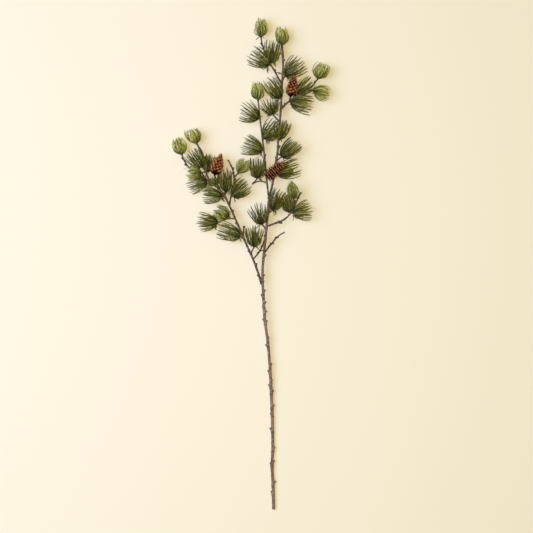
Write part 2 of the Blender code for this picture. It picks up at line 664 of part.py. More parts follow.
def main():
    """Build the sprig, then shift it so that its box stands centred on the origin."""
    for old in list(bpy.data.objects):
        bpy.data.objects.remove(old)
    sprig = bpy.data.collections.new("larch_sprig")
    cutters = bpy.data.collections.new("larch_sprig_cutters")
    for collection in (sprig, cutters):
        bpy.context.scene.collection.children.link(collection)

    bark = material("bark", (0.21, 0.165, 0.14), 0.85)
    dark_needle = material("dark_needle", (0.055, 0.075, 0.025), 0.55)
    pale_needle = material("pale_needle", (0.17, 0.22, 0.05), 0.55)
    cone_scale = material("cone_scale", (0.24, 0.085, 0.035), 0.6)

    lines = {}
    for twig in TWIGS:
        parent = lines[twig.grows_from[0]] if twig.grows_from else None
        lines[twig.name] = Centreline(twig, parent)
    rows = {f"needle_tuft_{i:02d}": row for i, row in enumerate(NEEDLE_TUFTS, 1)}
    rows |= {f"young_tuft_{i:02d}": row for i, row in enumerate(YOUNG_TUFTS, 1)}

    tufts, pegs = {}, {}
    for name, row in rows.items():
        base = tuft_base(row, lines[row.on])
        tufts[name] = {"mesh": tuft_mesh(name, row, base), "axis": axis_ends(base, row)}
        peg = peg_for(row, lines[row.on], base)
        if peg:
            pegs.setdefault(row.on, []).append(peg)
    for row in CONES:
        if row.foot is not None:
            axis = (vec(row.tip) - vec(row.stem)).normalized()
            stalk_end = vec(row.stem) - axis * (PEG_RADIUS * UNIT + GAP)
            pegs.setdefault(row.on, []).append(peg_for(row, lines[row.on], stalk_end))

    part_neighbours(tufts)
    guards = build_twigs(bare_nubs_only(lines, tufts), lines, pegs, sprig, cutters, bark)
    for row in CONES:
        mesh = cone_mesh(row)
        guards[row.name] = add_cutter(row.name + "_clearance", swollen(mesh, CLEARANCE), cutters)
        dress(add_object(row.name, mesh, sprig), cone_scale)

    bpy.context.view_layer.update()
    trees = {name: surface_tree(evaluated_mesh(guard)) for name, guard in guards.items()}
    for name, tuft in tufts.items():
        settle(tuft["mesh"], 0)
        obj = add_object(name, tuft["mesh"], sprig)
        dress(obj, dark_needle if name.startswith("needle") else pale_needle)
        own = surface_tree(tuft["mesh"])
        for guard, tree in trees.items():
            if own.overlap(tree):
                add_boolean(obj, guards[guard], "DIFFERENCE")

    bpy.context.view_layer.update()
    corners = []
    depsgraph = bpy.context.evaluated_depsgraph_get()
    for obj in sprig.objects:
        corners += [tuple(v.co) for v in obj.evaluated_get(depsgraph).data.vertices]
    low, high = np.min(corners, axis=0), np.max(corners, axis=0)
    shift = Vector((-(low[0] + high[0]) / 2, -(low[1] + high[1]) / 2, -low[2]))
    for obj in [*sprig.objects, *cutters.objects]:
        obj.location = shift


main()
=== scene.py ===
"""The looks of a cut larch sprig that lies flat: bark, needles and cone scales.

Metres, +Z up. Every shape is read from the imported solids. A twig's run and thickness
are felt out from inside its tube, a tuft's base, heading and reach come from its outer
form, and a cone's axis and outline come from its stepped rows. Needles, bark and scales
are then grown over those, and each new piece stands in for one solid.
"""

import json
import logging
import math
from dataclasses import dataclass, field
from enum import Enum

import bpy
import numpy as np
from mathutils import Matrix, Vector, noise
from mathutils.bvhtree import BVHTree


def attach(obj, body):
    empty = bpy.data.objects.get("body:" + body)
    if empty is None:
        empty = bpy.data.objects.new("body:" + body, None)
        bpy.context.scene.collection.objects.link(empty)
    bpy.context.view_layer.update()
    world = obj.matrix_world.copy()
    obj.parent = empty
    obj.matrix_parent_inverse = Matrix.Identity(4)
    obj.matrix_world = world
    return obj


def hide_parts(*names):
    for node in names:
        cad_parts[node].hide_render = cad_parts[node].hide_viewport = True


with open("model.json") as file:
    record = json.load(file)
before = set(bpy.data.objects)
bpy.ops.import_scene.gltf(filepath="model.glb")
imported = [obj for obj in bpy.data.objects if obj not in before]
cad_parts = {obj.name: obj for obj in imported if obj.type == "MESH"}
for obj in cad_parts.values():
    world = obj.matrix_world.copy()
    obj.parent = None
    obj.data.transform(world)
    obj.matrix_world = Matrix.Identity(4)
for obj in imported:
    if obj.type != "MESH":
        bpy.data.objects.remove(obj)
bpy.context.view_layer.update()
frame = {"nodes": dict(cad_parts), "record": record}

MM = 0.001
BODY = "root"
SEED = 20
GOLDEN_ANGLE = math.pi * (3 - math.sqrt(5))
GOLDEN_SHARE = (math.sqrt(5) - 1) / 2
UPRIGHT = np.array((0.0, 0.0, 1.0))
BACKDROP = (0.98, 0.88, 0.68)       # the colour behind the sprig, far off

log = logging.getLogger("larch_sprig")


# ------------------------------------------------------------------- arrays of vectors


def unit(vectors: np.ndarray) -> np.ndarray:
    """Vectors made one long, along their last axis."""
    return vectors / np.maximum(np.linalg.norm(vectors, axis=-1, keepdims=True), 1e-12)


def spread_frames(ways: np.ndarray) -> tuple[np.ndarray, np.ndarray]:
    """Level side and up vectors for directions that are never upright.

    Args:
        ways: Directions, one per row.

    Returns:
        The side and the up vectors, one of each per direction.
    """
    sides = unit(np.cross(ways, UPRIGHT))
    return sides, np.cross(sides, ways)


def smoothed(values: np.ndarray, reach: float) -> np.ndarray:
    """A row of values evened out along its length, its two ends kept.

    Args:
        values: Rows of numbers or of points.
        reach: How many rows the evening-out spreads over.

    Returns:
        As many rows.
    """
    half = min(int(3 * reach), len(values) - 1)
    if half < 1:
        return values
    weights = np.exp(-0.5 * (np.arange(-half, half + 1) / reach) ** 2)
    weights /= weights.sum()
    before = 2 * values[0] - values[half:0:-1]
    after = 2 * values[-1] - values[-2:-half - 2:-1]
    padded = np.concatenate([before, values, after])
    columns = padded.reshape(len(padded), -1)
    even = [np.convolve(column, weights, "valid") for column in columns.T]
    return np.array(even).T.reshape(values.shape)


def ring_of(sides: np.ndarray, ups: np.ndarray, angles: np.ndarray) -> np.ndarray:
    """Directions round each frame, in the order that faces a loft outwards.

    Args:
        sides: Side vectors, one per frame.
        ups: Up vectors, one per frame.
        angles: The angles of one ring.

    Returns:
        An array of frames by angles by three.
    """
    return (
        sides[..., None, :] * np.cos(angles)[:, None]
        - ups[..., None, :] * np.sin(angles)[:, None]
    )


def angles_round(count: int) -> np.ndarray:
    """Even angles, once round."""
    return np.arange(count) * math.tau / count


def tube_grain(
    angles: np.ndarray, radius: float, along: np.ndarray, rng: np.random.Generator
) -> np.ndarray:
    """Places for a finish's pattern on a straightened tube, which starts anywhere in it.

    Args:
        angles: The angles of one ring.
        radius: The tube's radius.
        along: How far along the tube each ring is.
        rng: Where the start comes from.

    Returns:
        The places, rings by angles by three.
    """
    grain = np.zeros((len(along), len(angles), 3))
    grain[..., 0] = np.cos(angles) * radius
    grain[..., 1] = np.sin(angles) * radius
    grain[..., 2] = along[:, None]
    return grain + rng.uniform(-1, 1, 3)


def off_the_floor(rings: np.ndarray) -> np.ndarray:
    """The same rings, with nothing below the level that the sprig lies on."""
    rings[..., 2] = np.maximum(rings[..., 2], 0.0)
    return rings


def hump(past: np.ndarray, width: float) -> np.ndarray:
    """A smooth hump, one high where past is nought."""
    return np.exp(-((past / width) ** 2))


def nearest_row(points: np.ndarray, point: np.ndarray) -> int:
    """Which row of points is nearest a point."""
    return int(np.argmin(np.linalg.norm(points - point, axis=1)))


# ------------------------------------------------------------------ reading the solids


class Solid:
    """A closed solid of the frame, as points, triangles and a search tree."""

    FAR = 10.0                  # in place of a distance to nothing
    OUTSIDE = 0.2               # from a point of the solid, well outside it
    UNDER_SKIN = 0.02 * MM
    SLIVER = 1e-9               # twice the area of a triangle too small to trust

    def __init__(self, node: str) -> None:
        """Read a node's mesh.

        Args:
            node: The node's name.
        """
        mesh = frame["nodes"][node].data
        mesh.calc_loop_triangles()
        self.points = np.array([v.co for v in mesh.vertices])
        self.faces = np.array([t.vertices for t in mesh.loop_triangles])
        self.tree = BVHTree.FromPolygons(self.points.tolist(), self.faces.tolist())

    def corners(self) -> tuple[np.ndarray, ...]:
        """The first, the second and the third corners of its triangles."""
        return tuple(self.points[self.faces[:, i]] for i in range(3))

    def middle(self) -> np.ndarray:
        """Find the centre of its volume.

        Returns:
            The centre.
        """
        a, b, c = self.corners()
        volumes = np.einsum("ij,ij->i", a, np.cross(b, c))
        return ((a + b + c) / 4 * volumes[:, None]).sum(0) / volumes.sum()

    def apex(self) -> tuple[np.ndarray, np.ndarray]:
        """Find the corner where most of its flat sides meet.

        Returns:
            The corner, and the way that it points.
        """
        a, b, c = self.corners()
        normals = np.cross(b - a, c - a)
        sound = np.linalg.norm(normals, axis=1) > self.SLIVER
        sides = np.round(unit(normals), 2)
        places, numbers = np.unique(np.round(self.points, 6), axis=0, return_inverse=True)
        of_face = numbers.ravel()[self.faces]
        meeting = [np.unique(sides[sound & (of_face == i).any(axis=1)], axis=0)
                   for i in range(len(places))]
        most = max(range(len(places)), key=lambda i: len(meeting[i]))
        way = np.linalg.lstsq(meeting[most], np.ones(len(meeting[most])), rcond=None)[0]
        return places[most], unit(way)

    def wall(self, start: np.ndarray, way: np.ndarray) -> float:
        """How far a straight way runs before it meets a wall."""
        distance = self.tree.ray_cast(Vector(start), Vector(way))[3]
        return self.FAR if distance is None else distance

    def exit_from(self, base: np.ndarray, way: np.ndarray) -> float:
        """How far from a base the solid ends along a way, seen from outside."""
        met = self.wall(base + way * self.OUTSIDE, -way)
        return 0.0 if met > self.OUTSIDE else self.OUTSIDE - met

    def inside(self) -> np.ndarray:
        """Find a point well inside, behind its largest face.

        Returns:
            The point.
        """
        a, b, c = self.corners()
        normals = np.cross(b - a, c - a)
        largest = int(np.argmax(np.linalg.norm(normals, axis=1)))
        centre, inwards = (a + b + c)[largest] / 3, -unit(normals[largest])
        skin = centre + inwards * self.UNDER_SKIN
        return skin + inwards * self.wall(skin, inwards) / 2


@dataclass
class CoreLine:
    """A twig's centre line, with its radius at each point."""

    points: np.ndarray
    radii: np.ndarray

    STEP = 1.0 * MM
    LAST_STEP = 1.6 * STEP      # left to the end, it is walked in one
    STEADY = 0.6                # how much of its way the walk keeps at each step
    SPOKES = 16                 # feelers round the line, an even number
    STEEP = 0.9                 # rise of a way too near upright to be level across
    SOUND = 1.15                # of the median width; where it is wider, a peg grows
    EVENING = 6.0               # steps that the line is evened out over
    LOOKS = 64                  # ways tried for the first step
    TRIMMED = 5                 # steps at each end where the tube may be cut aslant

    @classmethod
    def felt_inside(cls, solid: Solid) -> "CoreLine":
        """Find the line of a tube by walking both ways from a point inside it.

        Args:
            solid: The tube, which may carry short pegs.

        Returns:
            The line, evened out, with either end first.
        """
        start = solid.inside()
        heights = 1 - 2 * (np.arange(cls.LOOKS) + 0.5) / cls.LOOKS
        turns = np.arange(cls.LOOKS) * GOLDEN_ANGLE
        flat = np.sqrt(1 - heights**2)
        looks = np.stack([flat * np.cos(turns), flat * np.sin(turns), heights], axis=1)
        way = max(looks, key=lambda look: solid.wall(start, look) + solid.wall(start, -look))
        start, _ = cls.section(solid, start, way)
        ahead, behind = cls.walk(solid, start, way), cls.walk(solid, start, -way)
        places = np.array([*(p for p, _ in reversed(behind[1:])), *(p for p, _ in ahead)])
        radii = np.array([*(r for _, r in reversed(behind[1:])), *(r for _, r in ahead)])
        numbers, skip = np.arange(len(radii)), min(cls.TRIMMED, len(radii) // 4)
        taper = np.polyfit(numbers[skip:-skip], radii[skip:-skip], 1)
        return cls(smoothed(places, cls.EVENING), np.polyval(taper, numbers))

    def turned(self) -> "CoreLine":
        """The same line from its other end."""
        return CoreLine(self.points[::-1], self.radii[::-1])

    @classmethod
    def section(cls, solid: Solid, point: np.ndarray, way: np.ndarray) -> tuple[np.ndarray, float]:
        """The centre and radius of a tube's cross-section, whatever grows from it.

        Args:
            solid: The tube.
            point: A point inside.
            way: The direction that the tube runs in.

        Returns:
            The centre and the radius.
        """
        upright = UPRIGHT if abs(way[2]) < cls.STEEP else np.array((1.0, 0, 0))
        side = unit(np.cross(way, upright))
        up = np.cross(side, way)
        angles = angles_round(cls.SPOKES)
        spokes = side * np.cos(angles)[:, None] + up * np.sin(angles)[:, None]
        reach = np.array([solid.wall(point, spoke) for spoke in spokes])
        half = cls.SPOKES // 2
        widths = (reach[:half] + reach[half:]) / 2
        sound = widths < cls.SOUND * np.median(widths)
        shifts = (reach[:half] - reach[half:])[sound] / 2
        centre = point + np.linalg.lstsq(spokes[:half][sound], shifts, rcond=None)[0]
        return centre, float(np.median(widths))

    @classmethod
    def walk(
        cls, solid: Solid, start: np.ndarray, way: np.ndarray
    ) -> list[tuple[np.ndarray, float]]:
        """Walk along the inside of a tube to its end.

        Args:
            solid: The tube.
            start: Where to start, on its centre line.
            way: Which way to go.

        Returns:
            The centres passed and the radii there.
        """
        centre, radius = cls.section(solid, start, way)
        passed = [(centre, radius)]
        while (left := solid.wall(centre, way)) > cls.LAST_STEP:
            last = centre
            centre, radius = cls.section(solid, centre + way * cls.STEP, way)
            way = unit(cls.STEADY * way + (1 - cls.STEADY) * unit(centre - last))
            passed.append((centre, radius))
        passed.append((centre + way * left, radius))
        return passed

    def nearest(self, point: np.ndarray) -> int:
        """The number of the line's point that is nearest to a place."""
        return nearest_row(self.points, point)

    def ways(self) -> np.ndarray:
        """The direction of growth at each point."""
        return unit(np.gradient(self.points, axis=0))


class GrowthKind(Enum):
    """What a stub that stands off the bark is."""

    BUD_SCAR = "bud scar"
    SPIKE = "bare spike"
    SPUR = "spur that carries a tuft or a cone"


@dataclass
class Growth:
    """A stub on a twig, from its foot inside the bark to its tip."""

    foot: np.ndarray
    tip: np.ndarray
    radius: float
    kind: GrowthKind = GrowthKind.BUD_SCAR

    STANDS_OFF = 1.3            # of the twig's radius
    CLEARANCE = 0.25 * MM       # and this much more
    SAME_END = 1.9 * MM         # between neighbouring corners of one end face
    FLAT_END = 0.06 * MM
    FEWEST = 3                  # corners of an end face
    PROBES = np.arange(0, 22, 0.25)[:, None] * MM       # back from the tip, for the foot
    NEAR_LINE = 0.8             # of the twig's radius; a stub's foot is that near its line
    SHORTEST = 1.4 * MM
    LONGEST_SCAR = 4.2 * MM     # past the bark
    BARK_SHARE = 0.7            # of the twig's radius that a length runs through
    SCAR_THICKNESS = (0.33, 0.53)       # of a scar's end, against the twig's

    @classmethod
    def all_on(cls, solid: Solid, line: CoreLine) -> list["Growth"]:
        """Find the stubs of a twig by the ends that stand well off its bark.

        Args:
            solid: The twig's solid.
            line: Its centre line.

        Returns:
            The stubs, in no set order.
        """
        points = np.unique(np.round(solid.points, 6), axis=0)
        gaps = np.linalg.norm(points[:, None] - line.points[None], axis=2)
        nearest = gaps.argmin(axis=1)
        off = points[gaps.min(axis=1) > cls.STANDS_OFF * line.radii[nearest] + cls.CLEARANCE]
        ends: list[list[np.ndarray]] = []
        for point in off:
            touching = [
                e for e in ends if min(np.linalg.norm(point - q) for q in e) < cls.SAME_END
            ]
            merged = [point, *(q for end in touching for q in end)]
            ends = [e for e in ends if all(e is not t for t in touching)] + [merged]
        found = [cls.from_end(line, np.array(end)) for end in ends if len(end) >= cls.FEWEST]
        return [growth for growth in found if growth]

    @classmethod
    def from_end(cls, line: CoreLine, end: np.ndarray) -> "Growth | None":
        """Work out a stub from the corners of its end face.

        Args:
            line: The twig's centre line.
            end: The corners.

        Returns:
            The stub, or nothing if the corners are only a bend or a cut of the bark.
        """
        tip = end.mean(axis=0)
        radius = float(np.linalg.norm(end - tip, axis=1).mean())
        beside = line.points[line.nearest(tip)]
        thickness = radius / line.radii[line.nearest(tip)]
        spread = np.linalg.svd(end - tip)
        way = spread[2][2] * (1 if spread[2][2] @ (tip - beside) > 0 else -1)
        backs = tip - way * cls.PROBES
        gaps = np.linalg.norm(backs[:, None] - line.points[None], axis=2).min(axis=1)
        foot = backs[int(gaps.argmin())]
        length = float(np.linalg.norm(tip - foot))
        flat = spread[1][2] < cls.FLAT_END
        aimed = gaps.min() < cls.NEAR_LINE * line.radii.max()
        if not (flat and aimed and length > cls.SHORTEST and thickness < 1):
            low, high = cls.SCAR_THICKNESS
            if not low < thickness < high:
                return None
            foot = beside
            length = float(np.linalg.norm(tip - foot))
        scar = length < cls.LONGEST_SCAR + cls.BARK_SHARE * line.radii[line.nearest(tip)]
        return cls(foot, tip, radius, GrowthKind.BUD_SCAR if scar else GrowthKind.SPIKE)


# ---------------------------------------------------------------------- making meshes


class Mould:
    """Gathers lofts into one mesh, with guides that the finishes read.

    The guides are grain, a place on the straightened piece, along, the share of the
    way to its tip, and tone, which is even over each needle, scale or twig.
    """

    def __init__(self) -> None:
        """Start empty."""
        self.points: list[np.ndarray] = []
        self.faces: list[list[int]] = []
        self.finishes: list[int] = []
        self.grain: list[np.ndarray] = []
        self.along: list[np.ndarray] = []
        self.tone: list[np.ndarray] = []
        self.count = 0

    def add_lofts(
        self,
        rings: np.ndarray,
        grain: np.ndarray,
        along: np.ndarray,
        tone: np.ndarray,
        finish: int = 0,
    ) -> None:
        """Add closed lofts that are all made alike.

        Args:
            rings: Lofts by rings by ring points by three.
            grain: Places for the finish's pattern, of the same shape.
            along: Shares of the way to the tip, lofts by rings.
            tone: One number per loft.
            finish: Which of the piece's finishes they take.
        """
        lofts, count, sides = rings.shape[:3]
        numbers = self.count + np.arange(lofts * count * sides).reshape(lofts, count, sides)
        turned = np.roll(numbers, -1, axis=2)
        quads = np.stack(
            [numbers[:, :-1], turned[:, :-1], turned[:, 1:], numbers[:, 1:]], axis=-1
        ).reshape(-1, 4)
        caps = [*numbers[:, 0, ::-1].tolist(), *numbers[:, -1].tolist()]
        self.faces += quads.tolist() + caps
        self.finishes += [finish] * (len(quads) + len(caps))
        self.points.append(rings.reshape(-1, 3))
        self.grain.append(grain.reshape(-1, 3))
        self.along.append(np.repeat(along.reshape(-1), sides))
        self.tone.append(np.repeat(tone, count * sides))
        self.count += lofts * count * sides

    def piece(self, name: str, materials: list[bpy.types.Material]) -> bpy.types.Object:
        """Cast what was gathered as an object.

        Args:
            name: The object's name.
            materials: Its finishes, in order.

        Returns:
            The object, shaded smooth.
        """
        mesh = bpy.data.meshes.new(name)
        mesh.from_pydata(np.concatenate(self.points).tolist(), [], self.faces)
        guides = {"along": self.along, "tone": self.tone}
        for guide, values in guides.items():
            mesh.attributes.new(guide, "FLOAT", "POINT").data.foreach_set(
                "value", np.concatenate(values).astype(np.float32)
            )
        mesh.attributes.new("grain", "FLOAT_VECTOR", "POINT").data.foreach_set(
            "vector", np.concatenate(self.grain).astype(np.float32).ravel()
        )
        for material in materials:
            mesh.materials.append(material)
        mesh.polygons.foreach_set("material_index", self.finishes)
        mesh.shade_smooth()
        mesh.validate()
        piece = bpy.data.objects.new(name, mesh)
        bpy.context.scene.collection.objects.link(piece)
        return piece


# ---------------------------------------------------------------------------- finishes


class Recipe:
    """A material's node tree, built up step by step."""

    def __init__(self, name: str) -> None:
        """Start a material with one Principled shader.

        Args:
            name: The material's name.
        """
        self.material = bpy.data.materials.new(name)
        self.material.use_nodes = True
        self.nodes = self.material.node_tree.nodes
        self.links = self.material.node_tree.links
        self.shader = self.nodes["Principled BSDF"]

    def feed(self, socket: bpy.types.NodeSocket, value: object) -> None:
        """Link a socket to another one's output, or set its value.

        Args:
            socket: The input to feed.
            value: An output, a number or a colour.
        """
        if isinstance(value, bpy.types.NodeSocket):
            self.links.new(value, socket)
        else:
            socket.default_value = value

    def guide(self, name: str, output: str = "Fac") -> bpy.types.NodeSocket:
        """Read one of the guides that a mould leaves on the mesh.

        Args:
            name: The guide's name.
            output: Which of the node's outputs holds it.

        Returns:
            The output.
        """
        node = self.nodes.new("ShaderNodeAttribute")
        node.attribute_name = name
        return node.outputs[output]

    def stretched(self, place: bpy.types.NodeSocket, by: tuple) -> bpy.types.NodeSocket:
        """Scale a place along each axis, so that patterns on it run long.

        Args:
            place: The place.
            by: One factor per axis.

        Returns:
            The scaled place.
        """
        node = self.nodes.new("ShaderNodeVectorMath")
        node.operation = "MULTIPLY"
        self.feed(node.inputs[0], place)
        self.feed(node.inputs[1], by)
        return node.outputs[0]

    def noise(
        self, place: bpy.types.NodeSocket, scale: float, detail: float
    ) -> bpy.types.NodeSocket:
        """Make a cloudy pattern.

        Args:
            place: Where on the pattern to look.
            scale: How many clouds a metre holds.
            detail: How many finer layers it has.

        Returns:
            A number about one half.
        """
        node = self.nodes.new("ShaderNodeTexNoise")
        self.feed(node.inputs["Vector"], place)
        self.feed(node.inputs["Scale"], scale)
        self.feed(node.inputs["Detail"], detail)
        return node.outputs[0]

    def ramp(self, share: bpy.types.NodeSocket, stops: tuple) -> bpy.types.NodeSocket:
        """Colours along a share.

        Args:
            share: A number from 0 to 1.
            stops: Pairs of a share and a colour, in order.

        Returns:
            The colour.
        """
        node = self.nodes.new("ShaderNodeValToRGB")
        elements = node.color_ramp.elements
        while len(elements) < len(stops):
            elements.new(0.5)
        for element, (at, colour) in zip(elements, stops):
            element.position = at
            element.color = (*colour, 1)
        self.feed(node.inputs["Fac"], share)
        return node.outputs["Color"]

    def blended(
        self, share: object, first: object, second: object, how: str = "MIX"
    ) -> bpy.types.NodeSocket:
        """Two colours mixed, or worked together another way.

        Args:
            share: How much of the second.
            first: A colour or a socket.
            second: A colour or a socket.
            how: The node's blend type.

        Returns:
            The mixed colour.
        """
        node = self.nodes.new("ShaderNodeMix")
        node.data_type = "RGBA"
        node.blend_type = how
        self.feed(node.inputs["Factor"], share)
        for socket, value in ((node.inputs[6], first), (node.inputs[7], second)):
            self.feed(socket, (*value, 1) if isinstance(value, tuple) else value)
        return node.outputs[2]

    def sum_of(self, *terms: tuple[bpy.types.NodeSocket, float]) -> bpy.types.NodeSocket:
        """Add numbers up, each times its own weight.

        Args:
            terms: Pairs of a number and a weight, either of which may be a socket.

        Returns:
            The sum.
        """
        total = None
        for value, weight in terms:
            node = self.nodes.new("ShaderNodeMath")
            node.operation = "MULTIPLY_ADD"
            self.feed(node.inputs[0], value)
            self.feed(node.inputs[1], weight)
            self.feed(node.inputs[2], 0.0 if total is None else total)
            total = node.outputs[0]
        return total

    def remapped(
        self, value: bpy.types.NodeSocket, low: float, high: float, new_low: float, new_high: float
    ) -> bpy.types.NodeSocket:
        """Move a number from one range to another, and keep it in there.

        Args:
            value: The number.
            low: Where its range starts.
            high: Where its range ends.
            new_low: What the start becomes.
            new_high: What the end becomes.

        Returns:
            The new number.
        """
        node = self.nodes.new("ShaderNodeMapRange")
        for socket, number in zip(node.inputs[:5], (value, low, high, new_low, new_high)):
            self.feed(socket, number)
        return node.outputs[0]

    def bump(self, height: bpy.types.NodeSocket, depth: float) -> None:
        """Roughen the surface.

        Args:
            height: A number that is greatest on the ridges.
            depth: How deep the relief is, in metres.
        """
        node = self.nodes.new("ShaderNodeBump")
        self.feed(node.inputs["Height"], height)
        node.inputs["Distance"].default_value = depth
        self.links.new(node.outputs["Normal"], self.shader.inputs["Normal"])

    def finished(
        self, colour: object, roughness: object, specular: float
    ) -> bpy.types.Material:
        """Set the shader's colour and gloss, and hand the material over.

        Args:
            colour: A colour or a socket.
            roughness: A number or a socket.
            specular: How strongly the surface reflects.

        Returns:
            The material.
        """
        self.feed(self.shader.inputs["Base Color"], colour)
        self.feed(self.shader.inputs["Roughness"], roughness)
        self.shader.inputs["Specular IOR Level"].default_value = specular
        return self.material


@dataclass(frozen=True)
class BarkFinish:
    """Grey-brown bark: long streaks, dark pits and paler worn ridges.

    Young, middling and old are what the colour is multiplied by as the bark ages.
    """

    name: str = "bark"
    furrow: tuple = (0.070, 0.045, 0.036)
    body: tuple = (0.195, 0.136, 0.108)
    ridge: tuple = (0.40, 0.305, 0.255)
    pit: tuple = (0.045, 0.028, 0.020)
    scar: tuple = (0.030, 0.016, 0.010)
    young: tuple = (0.39, 0.31, 0.245)
    middling: tuple = (0.71, 0.63, 0.53)
    old: tuple = (1.12, 1.12, 1.12)
    streak_size: float = 2600       # as noise scales
    streak_run: float = 0.12        # across against along
    patch_size: float = 260
    speck_size: float = 1500
    levels: tuple = (0.34, 0.49, 0.63)      # heights of the furrow, body and ridge colours
    pitting: float = 0.75
    scarring: float = 0.9
    relief: float = 0.45 * MM
    rough: float = 0.92
    worn: float = 0.72
    specular: float = 0.3

    def material(self) -> bpy.types.Material:
        """Mix the finish.

        Returns:
            The material.
        """
        recipe = Recipe(self.name)
        grain = recipe.guide("grain", "Vector")
        long_grain = recipe.stretched(grain, (1.0, 1.0, self.streak_run))
        streaks = recipe.noise(long_grain, self.streak_size, 5)
        patches = recipe.noise(grain, self.patch_size, 4)
        specks = recipe.noise(grain, self.speck_size, 2)
        height = recipe.sum_of((streaks, 0.45), (patches, 0.55))
        colours = (self.furrow, self.body, self.ridge)
        colour = recipe.ramp(height, tuple(zip(self.levels, colours)))
        pitted = recipe.remapped(specks, 0.60, 0.70, 0.0, self.pitting)
        colour = recipe.blended(pitted, colour, self.pit)
        bright = recipe.ramp(
            recipe.guide("tone"), ((0.0, self.young), (0.5, self.middling), (1.0, self.old))
        )
        colour = recipe.blended(1.0, colour, bright, "MULTIPLY")
        scarred = recipe.remapped(recipe.guide("along"), 0, 1, 0, self.scarring)
        colour = recipe.blended(scarred, colour, self.scar)
        recipe.bump(height, self.relief)
        roughness = recipe.remapped(height, 0.3, 0.7, self.rough, self.worn)
        return recipe.finished(colour, roughness, self.specular)


@dataclass(frozen=True)
class CutWoodFinish:
    """Pale end grain at the cut, with rings and a dark pith."""

    name: str = "cut_wood"
    pale: tuple = (0.42, 0.31, 0.20)
    ring: tuple = (0.24, 0.16, 0.10)
    pith: tuple = (0.10, 0.06, 0.04)
    fibre_size: float = 3500        # as noise scales
    ring_size: float = 14           # over the way out from the pith
    levels: tuple = (0.30, 0.44, 0.60)      # where the pith, ring and pale colours are
    relief: float = 0.1 * MM
    rough: float = 0.85
    specular: float = 0.3

    def material(self) -> bpy.types.Material:
        """Mix the finish.

        Returns:
            The material.
        """
        recipe = Recipe(self.name)
        grain, out = recipe.guide("grain", "Vector"), recipe.guide("along")
        fibres = recipe.noise(grain, self.fibre_size, 3)
        rings = recipe.noise(out, self.ring_size, 1)
        share = recipe.sum_of((fibres, 0.45), (rings, 0.35), (out, 0.30))
        colour = recipe.ramp(share, tuple(zip(self.levels, (self.pith, self.ring, self.pale))))
        recipe.bump(fibres, self.relief)
        return recipe.finished(colour, self.rough, self.specular)


@dataclass(frozen=True)
class NeedleFinish:
    """Needles: woody at the foot, then a deep green that is painted shade for the tuft's crowded
    core, then green, with pale bands that are partly painted sheen, and a tone of their own.

    Darkest, common and brightest are what the colour is multiplied by as the tone rises.
    """

    name: str
    foot: tuple
    # painted shade: the deep green towards the foot, where the needles crowd and shade falls in the
    # tuft's core
    shade: tuple
    body: tuple
    tip: tuple
    # pale lengthwise bands: partly the needles' own stomatal bands, partly painted sheen
    band_and_sheen: tuple
    darkest: tuple = (0.23,) * 3
    common: tuple = (1.22,) * 3
    brightest: tuple = (3.25, 3.5, 5.6)
    common_at: float = 0.6      # the tone of most needles
    foot_at: float = 0.16       # how far along the needle its woody colour ends
    # where the painted shade is deepest
    shade_at: float = 0.30      # where its deepest green is
    body_at: float = 0.62       # where its full colour is
    tip_at: float = 0.92        # and where its tip's colour starts
    mottle_size: float = 420    # as noise scales
    band_size: float = 2400
    band_run: float = 0.02      # across against along
    banding: float = 0.55
    relief: float = 0.06 * MM
    smooth: float = 0.44
    rough: float = 0.62
    specular: float = 0.05

    def material(self) -> bpy.types.Material:
        """Mix the finish.

        Returns:
            The material.
        """
        recipe = Recipe(self.name)
        grain = recipe.guide("grain", "Vector")
        along, tone = recipe.guide("along"), recipe.guide("tone")
        mottle = recipe.noise(grain, self.mottle_size, 3)
        up = recipe.sum_of((along, 1.0), (mottle, 0.24), (tone, 0.16))
        # colour along each needle: woody foot, painted shade for the tuft's core, then its own
        # green and tip
        stops = (self.foot_at, self.shade_at, self.body_at, self.tip_at)
        colours = (self.foot, self.shade, self.body, self.tip)
        colour = recipe.ramp(up, tuple(zip(stops, colours)))
        # pale lengthwise bands, partly stomatal and partly painted sheen
        long_grain = recipe.stretched(grain, (1.0, 1.0, self.band_run))
        lines = recipe.noise(long_grain, self.band_size, 1)
        bands = recipe.remapped(lines, 0.52, 0.68, 0.0, self.banding)
        colour = recipe.blended(bands, colour, self.band_and_sheen)
        bright = recipe.ramp(
            tone, ((0.0, self.darkest), (self.common_at, self.common), (1.0, self.brightest))
        )
        colour = recipe.blended(1.0, colour, bright, "MULTIPLY")
        recipe.bump(lines, self.relief)
        roughness = recipe.remapped(mottle, 0.3, 0.7, self.smooth, self.rough)
        return recipe.finished(colour, roughness, self.specular)


